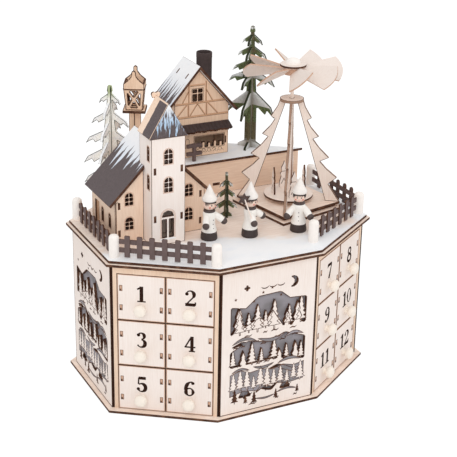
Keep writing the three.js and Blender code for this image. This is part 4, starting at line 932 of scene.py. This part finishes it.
class CALENDAR_OT_drawers(bpy.types.Operator):
    """Twenty-four numbered drawers with turned knobs"""

    bl_idname = "calendar.drawers"
    bl_label = "Drawers"

    def execute(self, context):
        height = context.scene.calendar_sizes.numeral / MM
        up = Vector((0, 0, 1))
        for node, axis in SLIDES.items():
            out = Vector(axis).normalized()
            right = Vector((-out.y, out.x, 0))
            spots = [v.co / MM for v in frame["nodes"][node].data.vertices]
            us, vs, ws = ([s.dot(way) for s in spots] for way in (right, up, out))
            face = max(ws) - KNOB[-1][1]
            middle, foot = (max(us) + min(us)) / 2, min(vs)
            half, tall = (max(us) - min(us)) / 2, max(vs) - foot
            place = Place(right * middle + out * face + up * foot, right)
            piece = Piece("pale_ply", "burnt_edge", "scorched", "knob_paint", "light_ply", "ink")
            slab(piece, place, half, tall, 3, 0.4)
            rim = 0.75  # of scorched wood round the front
            piece.stroke(place, box_outline(rim - half, rim, half - rim, tall - rim), rim, 2, closed=True,
                         lift=0.02)
            inside = [(u, v) for u, v, w in zip(us, vs, ws) if w < face - 10]
            tray(piece, Place(place.origin - up * foot, right), max(abs(u - middle) for u, v in inside), 2,
                 face - min(ws), min(v for u, v in inside), max(v for u, v in inside), 3, 4)
            for x in (4.2 - half, half - 4.2):
                for y in (15, 38.6):
                    mark(piece, place, x, y, 1.5, 3.3, 2, 1)
            numeral(piece, place, str(int(node[-2:])), 0, 33 - height / 2, height, 5)
            piece.lathe(place.at(0, 15.5), KNOB, 24, 3, Matrix((right, up, out)).transposed())
            piece.publish(node + "_dressed", (node,), node)
        return {"FINISHED"}


POSTS = {"a": (-153.5, 63), "b": (-154, -54), "c": (-62.5, -122), "d": (66, -106), "e": (158, -53),
         "f": (153, 53)}
# Each fence's first and last post, the posts that belong to it, and whether its pickets have round heads
FENCES = (("fence_left", "a", "b", "ab", True), ("fence_front_left", "b", "c", "c", False),
          ("fence_front_right", "d", "e", "de", False), ("fence_right", "e", "f", "f", True))


class CALENDAR_OT_fences(bpy.types.Operator):
    """Stained picket fences between cream posts"""

    bl_idname = "calendar.fences"
    bl_label = "Fences"

    def execute(self, context):
        sizes = context.scene.calendar_sizes
        pitch, half = sizes.pitch / MM, sizes.picket / MM / 2
        top, radius = 26, 5.8  # height of a picket, and what a post takes of the run
        for node, start, end, own, rounded in FENCES:
            a, b = Vector((*POSTS[start], GROUND)), Vector((*POSTS[end], GROUND))
            run, way = (b - a).length, (b - a).normalized()
            count = int((run - 2 * radius) // pitch)
            head = arc(0, top - half, half, half, 0, 180, 6) if rounded else [
                (half, top - 0.8), (half - 0.8, top), (0.8 - half, top), (-half, top - 0.8)]
            picket = Piece("dark_stain", "burnt_edge")
            picket.prism(Place((0, 0, 0), way), [(-half, 1), (half, 1), *head], -0.15, 1.5, 0, 1)
            piece = Piece("dark_stain", "burnt_edge", "cream_paint")
            piece.take_mesh(copies(picket, count, a + way * ((run - (count - 1) * pitch) / 2), way * pitch,
                                   unevenness=0.03, seed=7))
            for low in (5.5, 15.5):
                piece.prism(Place(a, way), box_outline(5.5, low, run - 5.5, low + 5.5), -1.5, -0.1, 0, 1)
            for post in own:
                piece.lathe((*POSTS[post], GROUND), POST, 24, 2)
            piece.publish(node + "_dressed", (node,), "calendar")
        return {"FINISHED"}


class CALENDAR_OT_terrace(bpy.types.Operator):
    """Raised terrace at the back"""

    bl_idname = "calendar.terrace"
    bl_label = "Terrace"

    def execute(self, context):
        def slots(piece):
            for x, y in ((78.7, 24), (-40, 12), (30, 12)):
                mark(piece, Place((0, 71.5, GROUND)), x, y, 4.5, 1.5, 1, 1)
        wooden("terrace_walls", "wall_ply", "burnt_edge", extra=slots)
        wooden("terrace_top", "all_snow", "burnt_edge", "dark_stain",
               pick=lambda face: 2 if face.calc_center_median().z > TERRACE + 0.2 else None)
        return {"FINISHED"}


class CALENDAR_OT_church(bpy.types.Operator):
    """Church with its slate roofs and tower"""

    bl_idname = "calendar.church"
    bl_label = "Church"

    def execute(self, context):
        wooden("church_walls", "birch_ply", "burnt_edge", "scorched", "beam_ply", extra=self.nave)
        wooden("church_roof", "nave_roof", "burnt_edge", pick=flanked)
        wooden("tower_walls", "pale_ply", "burnt_edge", "scorched", "all_snow", extra=self.tower)
        wooden("tower_roof", "tower_roof", "burnt_edge", "birch_ply", extra=self.finial)
        return {"FINISHED"}

    def nave(self, piece):
        front = Place((CHURCH, -24, GROUND))
        left = Place((CHURCH - 54.5, -24, GROUND), (0, -1, 0))
        for x in (-37.6, 35):
            for sill in (15, 44):
                window_trim(piece, front, x, sill, 9.4, 14.5)
        for y in (16, 38):
            window_trim(piece, left, -y, 14, 7, 17)
        for y in (11.7, 44.5):
            for x in (49.5, -49.5):
                tenon(piece, front, x, y, 1.5, 4)
        piece.stroke(front, [(-53.2, 8), (-53.2, 50)], 1.1, 1)
        piece.stroke(front, [(-53.2, 44), *arc(-51.4, 47, 1.8, 2.2, 200, -60, 8)], 0.6, 1)
        # darker sheet behind the open rear of the left wall: painted shade of the church's inside
        piece.prism(left, box_outline(-60.8, 0.2, -49.2, 32.8), -2.8, -1.6, 3)
        rims(piece, "church_walls", 0.45, wanted=standing)

    def tower(self, piece):
        face = Place((CHURCH, -46.5, GROUND))
        flank = Place((CHURCH - 20, -46.5, GROUND), (0, -1, 0))
        for sill in (62, 95):
            window_trim(piece, face, 0, sill, 9.8, 17)
            window_trim(piece, flank, -9, sill + 3, 6, 17)
        for x in (-16, 16):
            for y in (31.7, 87.8):
                tenon(piece, face, x, y, 1.5, 4)
        for reach, line in ((8, 0.5), (9.2, 0.35)):
            piece.stroke(face, [(-0.6 - reach, 7), (-0.6 - reach, 33),
                                *arc(-0.6, 33, reach, reach, 180, 0, 10)[1:], (reach - 0.6, 7)], line, 2)
        piece.prism(face, box_outline(-10, 5.4, 8.8, 7), -0.15, 0.12, 3)
        rims(piece, "tower_walls", 0.45, wanted=standing)

    def finial(self, piece):
        _, y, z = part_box("tower_roof")[1]
        lobes = [*arc(2.4, 0.7, 2.7, 2.7, -40, 140, 8), *arc(-2.4, 0.7, 2.7, 2.7, 40, 220, 8)]
        piece.prism(Place((CHURCH, y / MM - 0.2, z / MM)), [*lobes, (-3.4, -3.6), (0, -0.8), (3.4, -3.6)],
                    -2.6, 0, 2, 1)


class CALENDAR_OT_house(bpy.types.Operator):
    """Half-timbered house with its stall, canopy and chimney"""

    bl_idname = "calendar.house"
    bl_label = "House"
    slope = 1.14  # fall of the roof for each millimetre across

    def execute(self, context):
        wooden("house_walls", "timber_ply", "burnt_edge", "beam_ply", extra=self.timbers)
        wooden("house_roof", "house_roof", "burnt_edge", pick=flanked, extra=self.slots)
        self.canopy()
        self.chimney()
        return {"FINISHED"}

    def timbers(self, piece):
        wall = Place((HOUSE, 93, TERRACE))

        def beam(width, lift, *points):
            piece.stroke(wall, points, width, 2, lift=lift)
            # a thin dark line half a beam's width lower: painted shadow under the beam
            piece.stroke(wall, [(x, y - width / 2) for x, y in points], 0.4, 1, lift=lift + 0.02)
        beam(2.6, 0.2, (-29.5, 52), (41.5, 52))
        beam(2.4, 0.2, (-29, 69), (38, 69))
        for x in (-12, 12):
            beam(2.2, 0.22, (x, 53.4), (x, 67.8))
            beam(2.0, 0.22, (x * 0.95, 70.2), (x * 0.95, 95))
            beam(1.6, 0.22, (x / 0.6, 70.2), (x, 84))
        for x0, x1 in ((-27, -14), (27, 14), (-10, 0), (10, 0)):
            beam(1.8, 0.24, (x0, 53.4), (x1, 67.8))
        beam(2.0, 0.24, (-9.5, 91), (9.5, 91))
        piece.stroke(wall, box_outline(-7.4, 69.8, 7.4, 86.8), 0.5, 1, closed=True, lift=0.26)
        tenon(piece, wall, 38.6, 17.5, 1, 4.5)
        for i, x in enumerate((1, 9, 16, 23, 31)):
            piece.stroke(wall, arc(x, 6.6, 2.2, 2.4, 200 - i * 9, -20, 8), 0.5, 1, lift=0.1)
        rims(piece, "house_walls", 0.45, wanted=standing)
        piece.stroke(wall, box_outline(-4.2, 9.8, 37.2, 26.2), 0.5, 1, closed=True, lift=0.1)
        for x in (-22, -13):
            piece.stroke(wall, arched(x, 12, 5, 12), 0.4, 1, closed=True, lift=0.1)
        for x in range(2, 33, 5):
            piece.stroke(wall, [(x, 4), (x + 2, 6), (x + 4, 4)], 0.35, 1, lift=0.1)

    def slots(self, piece):
        fall = Place((HOUSE, 85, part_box("house_roof")[1][2] / MM), (0, -1, 0), (1, 0, self.slope))
        for x in (-12, -38):
            tenon(piece, fall, x, -18.5, 1.1, 3.5)

    def canopy(self):
        """Planks of the canopy, with ragged lower ends."""
        lean = atan2(6, 13)
        down = Vector((0, -cos(lean), -sin(lean)))
        hinge = Vector((HOUSE, 92.7, TERRACE + 40.5))
        width, long = 5.025, 15.4  # of a plank
        piece = Piece("black_stain", "burnt_edge")
        for first, end in ((0, 0.2), (1, 1.3), (2, 0.7)):
            plank = Piece("black_stain", "burnt_edge")
            plank.prism(Place((0, 0, 0), (1, 0, 0), -down), [
                (-2.35, end), (-1.4, end + 0.9), (-0.3, end - 0.1), (0.9, end + 1.2), (1.7, end + 0.2),
                (2.35, end + 0.6), (2.35, 15.3), (-2.35, 15.3)], 0.2, 2.9, 0, 1)
            spot = hinge + Vector((first * width - 26.3, 0, 0)) + down * long
            piece.take_mesh(copies(plank, 5 if first < 2 else 4, spot, (3 * width, 0, 0)))
        piece.prism(Place(hinge, (1, 0, 0), -down), box_outline(-29, -12.6, 41, -0.2), 0.05, 1.2, 0, 1)
        piece.publish("stall_roof_dressed", ("stall_roof",), "calendar")

    def chimney(self):
        """Pipe whose foot follows the roof."""
        x0, y0, gap = 30, 110, 0.3 * hypot(1, self.slope)
        pipe = ((9.5, 119), (9.7, 119.4), (9.7, 125.4), (9.3, 126), (8.2, 126), (7.9, 125.5), (7.9, 114))
        piece = Piece("black_stain", "burnt_edge")

        def ring(radius, height=None):
            return [(x0 + x, y0 + y, TERRACE + (116 - self.slope * (x0 + x - HOUSE) + gap if height is None
                                                else height)) for x, y in circle(radius, 30)]
        rows = piece.skin([ring(pipe[0][0]), *(ring(*size) for size in pipe)], 0, smooth=True)
        piece.lids(rows, 1)
        piece.publish("chimney_dressed", ("chimney",), "calendar")


class CALENDAR_OT_lantern(bpy.types.Operator):
    """Pierced lantern on its post"""

    bl_idname = "calendar.lantern"
    bl_label = "Lantern"

    def execute(self, context):
        wooden("lantern", "timber_ply", "burnt_edge", extra=lambda piece: rims(piece, "lantern", 0.8))
        return {"FINISHED"}


def spruce_board(node, face_finish, trunk, outlined=False):
    """Tree of crossed boards. Each point knows its depth below the branch's edge, and if it is stem."""
    part = cad_part(node)
    solid = BVHTree.FromBMesh(part)
    low, high = (Vector(corner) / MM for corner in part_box(node))
    middle = (low + high) / 2

    def in_stem(spot):
        reach = trunk * max(0.15, 1 - (spot.z - low.z) / (high.z - low.z)) + 1.6
        return hypot(spot.x - middle.x, spot.y - middle.y) < reach
    for face in part.faces:
        sawn = breadth(face) < EDGE and not in_stem(face.calc_center_median())
        face.material_index = int(sawn and not outlined)
    if outlined:
        lines = Piece("dark_needle")
        rims(lines, node, 0.62, 0)
        lines.publish(node + "_rims", (), "calendar")
    z = low.z + 1.2
    while z < high.z:
        bmesh.ops.bisect_plane(part, geom=part.verts[:] + part.edges[:] + part.faces[:], plane_co=(0, 0, z),
                               plane_no=(0, 0, 1))
        z += 2.4
    depth, stem = part.verts.layers.float.new("depth"), part.verts.layers.float.new("stem")
    for vert in part.verts:
        inside = vert.co - vert.normal * 0.7
        hit = solid.ray_cast(inside, Vector((0, 0, 1)), 60)[0]
        vert[depth] = hit.z - inside.z if hit else 0
        vert[stem] = float(in_stem(vert.co))
    piece = Piece(face_finish, "dark_needle", crease=35)
    piece.mesh.free()
    piece.mesh = part
    piece.publish(node + "_painted", (node,), "calendar")


class CALENDAR_OT_trees(bpy.types.Operator):
    """Three spruces of crossed boards with snow on their branches"""

    bl_idname = "calendar.trees"
    bl_label = "Trees"

    def execute(self, context):
        spruce_board("tree_tall", "spruce", 7.3)
        spruce_board("tree_pale", "pale_spruce", 19, outlined=True)
        spruce_board("tree_small", "spruce", 2.6)
        return {"FINISHED"}


class CALENDAR_OT_pyramid(bpy.types.Operator):
    """Turning pyramid: base, legs, carousel and vaned wheel"""

    bl_idname = "calendar.pyramid"
    bl_label = "Pyramid"
    middle = Vector((92.5, 2, GROUND))
    turn = -33
    floor, ring = 9, 164  # height of the base, and of the ring that the spindle turns in

    def execute(self, context):
        base = Piece("plate_ply", "burnt_edge")
        angles = [radians(self.turn + quarter) for quarter in (0, 90, 180, 270)]
        for corner, low, high in ((67, 0, 3), (57, 2.9, 6.1), (62, 6, self.floor)):
            base.prism(Place(self.middle, (1, 0, 0), (0, 1, 0)),
                       [(corner * sin(a), -corner * cos(a)) for a in angles], low, high, 0, 1)
        base.publish("pyramid_base_dressed", ("pyramid_base",), "calendar")
        wooden("pyramid_frame", "light_ply", "singed", "burnt_edge",
               extra=lambda piece: rims(piece, "pyramid_frame", 0.6, 2))
        self.wheel(context.scene.calendar_sizes.vanes)
        self.carousel()
        return {"FINISHED"}

    def wheel(self, vanes):
        pitch = radians(40)
        tip = [(52 + 6.5 * (1 - t * t), 17 * t) for t in (-1, -0.75, -0.5, -0.25, 0, 0.25, 0.5, 0.75, 1)]
        vane = Piece("vane_ply", "scorched")
        vane.prism(Place((0, 0, 0), (1, 0, 0), (0, cos(pitch), sin(pitch))), [(10, -6), *tip, (10, 6)],
                   -0.8, 0.8, 0, 1)
        piece = Piece("vane_ply", "burnt_edge", "cream_paint", "scorched")
        hub = self.middle + Vector((0, 0, self.ring))
        piece.take_mesh(copies(vane, vanes, hub + Vector((0, 0, 4.5)), turn=radians(self.turn + 14)))
        piece.lathe(hub, [(0, 0), (11.6, 0), (12.4, 0.8), (12.5, 8.2), (12.5, 9.02), (0, 9.02)], 36, 3)
        piece.lathe(hub, [(0, 8.9), (15, 8.9), (15.3, 9.3), (15.3, 11.6), (14.9, 12), (0, 12)], 40, 1,
                    slots=[(9.1, 0), (11.7, 1), (99, 0)])
        piece.lathe(hub, [(0, 11.9), (8.5, 11.9), (8.3, 14), (7.2, 16.2), (5, 17.8), (2.4, 18.4), (0, 18.5)],
                    32, 2)
        piece.publish("vane_wheel_dressed", ("vane_wheel",), "rotor")

    def carousel(self):
        piece = Piece("light_ply", "burnt_edge", "pale_ply")
        floor = self.middle + Vector((0, 0, self.floor))
        piece.lathe(floor, [(0, 4.5), (29.2, 4.5), (29.5, 4.8), (29.5, 7.2), (29.2, 7.5), (0, 7.5)], 48, 1,
                    slots=[(4.7, 0), (7.3, 1), (99, 0)])
        piece.lathe(floor, [(0, 0.3), (1.6, 0.3), (2, 1.2), (2, 160), (1.6, 160.7), (0, 160.7)], 16, 0)
        side = [(4.9, 0), (5.5, 2), (5.2, 8), (3.3, 15), (4.5, 17), (4.4, 19), (2.5, 20.5), (3.2, 23),
                (3.4, 25.5), (2.2, 28), (0.8, 31.5)]
        figure = Piece("pale_ply", "burnt_edge")
        stand, behind = (Place((19, 0, 0), (0, way, 0)) for way in (1, -1))
        figure.prism(stand, [*side, (0, 34), *((-x, z) for x, z in side[::-1])], -1, 1, 0, 1)
        for flat in (stand, behind):
            figure.stroke(flat, [(-3, 5), (0, 12), (3, 5)], 0.7, 1, lift=1.03, sink=-0.9)
            figure.stroke(flat, [(-2.4, 21), (2.4, 21)], 0.6, 1, lift=1.03, sink=-0.9)
        piece.take_mesh(copies(figure, 4, floor + Vector((0, 0, 7)), turn=radians(self.turn + 22.5)))
        piece.publish("carousel_dressed", ("carousel",), "rotor")


# Each singer's place, where they face in degrees, and whether they carry a star
SINGERS = (("singer_left", -38, -51, 15, False), ("singer_middle", 8, -62, 42, True),
           ("singer_right", 66, -71, -30, False))


class CALENDAR_OT_singers(bpy.types.Operator):
    """Three carol singers with cone hats"""

    bl_idname = "calendar.singers"
    bl_label = "Singers"

    def execute(self, context):
        for node, x, y, facing, star in SINGERS:
            piece = Piece("robe_paint", "boot_paint", "face_paint", "hat_paint", "glove_paint", "cheek_paint",
                          "light_ply", "burnt_edge")
            self.body(piece)
            self.head(piece)
            if star:
                self.star(piece)
            turned = Euler((0, 0, radians(facing))).to_matrix().to_4x4()
            bmesh.ops.transform(piece.mesh, verts=piece.mesh.verts,
                                matrix=Matrix.Translation((x, y, GROUND)) @ turned)
            piece.publish(node + "_dressed", (node,), "calendar")
        return {"FINISHED"}

    def body(self, piece):
        robe, boot, glove = 0, 1, 4
        for profile, sides, slot in (
                ([(0, 0), (9.2, 0), (9.6, 0.9), (9.4, 4), (8.9, 7.5), (8.5, 10.2), (0, 10.2)], 32, boot),
                ([(0, 9.6), (8.6, 9.6), (8.75, 10.4), (8.4, 12.6), (7.1, 17), (6.6, 21), (6.9, 25),
                  (7.6, 29.5), (7.3, 31.8), (6.0, 34), (4.8, 35.4), (0, 35.4)], 32, robe),
                ([(0, 32.4), (5.9, 32.5), (6.7, 33.4), (6.6, 34.7), (5.8, 35.7), (0, 35.8)], 28, glove)):
            piece.lathe((0, 0, 0), profile, sides, slot)
        for side in (-1, 1):
            shoulder, hand = Vector((side * 4.5, 0, 30.8)), Vector((side * 12.3, -8.9, 22.2))
            sleeve = [shoulder.lerp(hand, share) for share in (0, 0.35, 0.75, 1)]
            piece.tube(sleeve, [2.6, 3.4, 4.1, 3.6], 14, robe)
            piece.ball(shoulder.lerp(hand, 1.12), 4.0, glove, 18)
        for z in (14.5, 19.5, 24.5):
            piece.ball((0, -7.0 - abs(z - 20) * 0.11, z), 0.55, boot, 10)

    def head(self, piece):
        hair, skin, hat, cheek = 1, 2, 3, 5
        piece.ball((0, 0, 42), 7.3, skin, 28)
        piece.lathe((0, 0, 0), [(0, 45.4), (7.1, 45.4), (7.6, 45.9), (7.9, 46.8), (7.7, 47.6), (0, 47.6)], 32,
                    hair)
        piece.lathe((0, 0, 0), [(0, 46.6), (8.1, 46.6), (8.6, 47.6), (8.5, 49.2), (7.2, 51.2), (4.6, 56.2),
                                (2.7, 60.5), (1.1, 64.2), (0, 65.9)], 32, hat)
        for i in range(14):
            angle = pi * (0.08 + 0.84 * i / 13) + pi
            drop = (1.3 if abs(i - 6.5) < 4 else 3.6) + (i % 2) * 0.5
            lock = ((7.1, 46.2), (7.3, 45.6 - drop))
            piece.tube([(out * cos(angle), out * sin(angle), z) for out, z in lock], [0.8, 0.25], 6, hair)
        for side in (-1, 1):
            piece.ball((side * 2.4, -6.85, 42.4), 0.72, hair, 10)
            piece.ball((side * 4.0, -5.75, 39.9), 1.15, cheek, 10, 0.8)
        piece.ball((0, -7.25, 41.2), 0.75, skin, 10)
        piece.tube([(-1.2, -7.05, 38.9), (0, -7.2, 38.5), (1.2, -7.05, 38.9)], [0.16, 0.3, 0.16], 6, cheek)

    def star(self, piece):
        glove, wood, burnt = 4, 6, 7
        foot, head = Vector((-12.5, -9, 20)), Vector((-14.5, 1.5, 49))
        piece.tube([foot, foot.lerp(head, 0.5), head], [0.8, 0.8, 0.8], 10, wood)
        flat = Place(head + Vector((0, 0.6, 0)), (cos(radians(-60)), sin(radians(-60)), 0))
        tips = [(reach * cos(pi * i / 6 + pi / 2), reach * sin(pi * i / 6 + pi / 2))
                for i, reach in enumerate((7.5, 4.2) * 6)]
        piece.prism(flat, tips, -0.95, 0.95, glove)
        piece.stroke(flat, [(0.7 * a, 0.7 * b) for a, b in tips], 0.5, burnt, closed=True, lift=0.99,
                     sink=-0.9)


def seen_directly(tree):
    """1 for the camera's own rays, for reflections and for what is seen through glass."""
    seen = tree.add("ShaderNodeLightPath").outputs
    camera, gloss, glass = (Wire(tree, seen["Is %s Ray" % kind])
                            for kind in ("Camera", "Glossy", "Transmission"))
    return camera.most(gloss).most(glass)


def share_shaders(tree, share, first, second):
    """The second shader by its share, and the first by the rest."""
    return tree.add("ShaderNodeMixShader", None, share, first.outputs[0], second.outputs[0]).outputs[0]


class CALENDAR_OT_stage(bpy.types.Operator):
    """Pale floor, soft lamps and the camera"""

    bl_idname = "calendar.stage"
    bl_label = "Stage"

    def execute(self, context):
        scene = context.scene
        scene.view_settings.view_transform = "Standard"
        self.floor(scene)
        self.sky(scene)
        self.lamp(scene, "key", (-1.0, -1.5, 1.5), 1.4, 13)
        self.lamp(scene, "fill", (1.6, -0.9, 1.0), 1.6, 5)
        self.lamp(scene, "top", (0.1, 0.2, 2.0), 1.6, 5)
        self.camera(scene)
        return {"FINISHED"}

    def floor(self, scene):
        mesh = bpy.data.meshes.new("floor")
        mesh.from_pydata([(*corner, 0) for corner in box_outline(-30, -30, 30, 30)], [], [(0, 1, 2, 3)])
        floor = bpy.data.objects.new("floor", mesh)
        scene.collection.objects.link(floor)
        paint = Paint("floor")
        matt = paint.add("ShaderNodeBsdfDiffuse", Color=(0.92, 0.92, 0.92))
        bright = paint.add("ShaderNodeEmission", Color=(1.0, 1.0, 1.0), Strength=1.2)
        paint.add("ShaderNodeOutputMaterial",
                  Surface=share_shaders(paint, seen_directly(paint) * 0.7, matt, bright))
        mesh.materials.append(paint.material)
        floor.location.z = -0.0002

    def sky(self, scene):
        scene.world = bpy.data.worlds.new("studio")
        scene.world.use_nodes = True
        tree = Tree(scene.world.node_tree)
        tree.tree.nodes.clear()
        soft, white = (tree.add("ShaderNodeBackground", Color=(1.0, 1.0, 1.0), Strength=strength)
                       for strength in (0.7, 1.0))
        tree.add("ShaderNodeOutputWorld", Surface=share_shaders(tree, seen_directly(tree), soft, white))

    def lamp(self, scene, name, place, size, power):
        data = bpy.data.lights.new(name, "AREA")
        data.shape, data.size, data.energy = "SQUARE", size, power
        lamp = bpy.data.objects.new(name, data)
        lamp.location = place
        lamp.rotation_euler = (Vector((0, 0, 0.18)) - Vector(place)).to_track_quat("-Z", "Y").to_euler()
        scene.collection.objects.link(lamp)

    def camera(self, scene):
        """Where the photograph was taken from: turned and raised about the object, then rolled a little."""
        turned, raised, roll = map(radians, (-26.699, 23.019, 1.150))
        back = Vector((sin(turned) * cos(raised), -cos(turned) * cos(raised), sin(raised)))
        right = Vector((cos(turned), sin(turned), 0))
        up = back.cross(right)
        height, aside, distance = 174.358, 10.839, 1512
        place = (Vector((0, 0, height)) + right * aside + back * distance) * MM
        axes = (right * cos(roll) + up * sin(roll), up * cos(roll) - right * sin(roll), back)
        data = bpy.data.cameras.new("camera")
        focal, frame_width = 1282, 457  # in the photograph's pixels
        data.sensor_width = 36
        data.lens = focal * data.sensor_width / frame_width
        camera = bpy.data.objects.new("camera", data)
        camera.matrix_world = Matrix.Translation(place) @ Matrix(axes).transposed().to_4x4()
        scene.collection.objects.link(camera)
        scene.camera = camera


STEPS = (CALENDAR_OT_stage, CALENDAR_OT_box, CALENDAR_OT_drawers, CALENDAR_OT_fences, CALENDAR_OT_terrace,
         CALENDAR_OT_church, CALENDAR_OT_house, CALENDAR_OT_lantern, CALENDAR_OT_trees, CALENDAR_OT_pyramid,
         CALENDAR_OT_singers)


class CALENDAR_PT_panel(bpy.types.Panel):
    """Lists the colours, sizes and steps of the calendar"""

    bl_idname = "CALENDAR_PT_panel"
    bl_label = "Advent Calendar"
    bl_space_type = "VIEW_3D"
    bl_region_type = "UI"
    bl_category = "Calendar"

    def draw(self, context):
        for group in (context.scene.calendar_sizes, context.scene.calendar_colours):
            for name in group.bl_rna.properties.keys():
                if name not in ("rna_type", "name"):
                    self.layout.prop(group, name)
        for step in STEPS:
            self.layout.operator(step.bl_idname)


CLASSES = (CalendarColours, CalendarSizes, *STEPS, CALENDAR_PT_panel)


def register():
    for kind in CLASSES:
        bpy.utils.register_class(kind)
    bpy.types.Scene.calendar_colours = bpy.props.PointerProperty(type=CalendarColours)
    bpy.types.Scene.calendar_sizes = bpy.props.PointerProperty(type=CalendarSizes)


def unregister():
    del bpy.types.Scene.calendar_sizes
    del bpy.types.Scene.calendar_colours
    for kind in reversed(CLASSES):
        bpy.utils.unregister_class(kind)


def main():
    register()
    for step in STEPS:
        group, name = step.bl_idname.split(".")
        getattr(getattr(bpy.ops, group), name)()


if __name__ == "__main__":
    main()
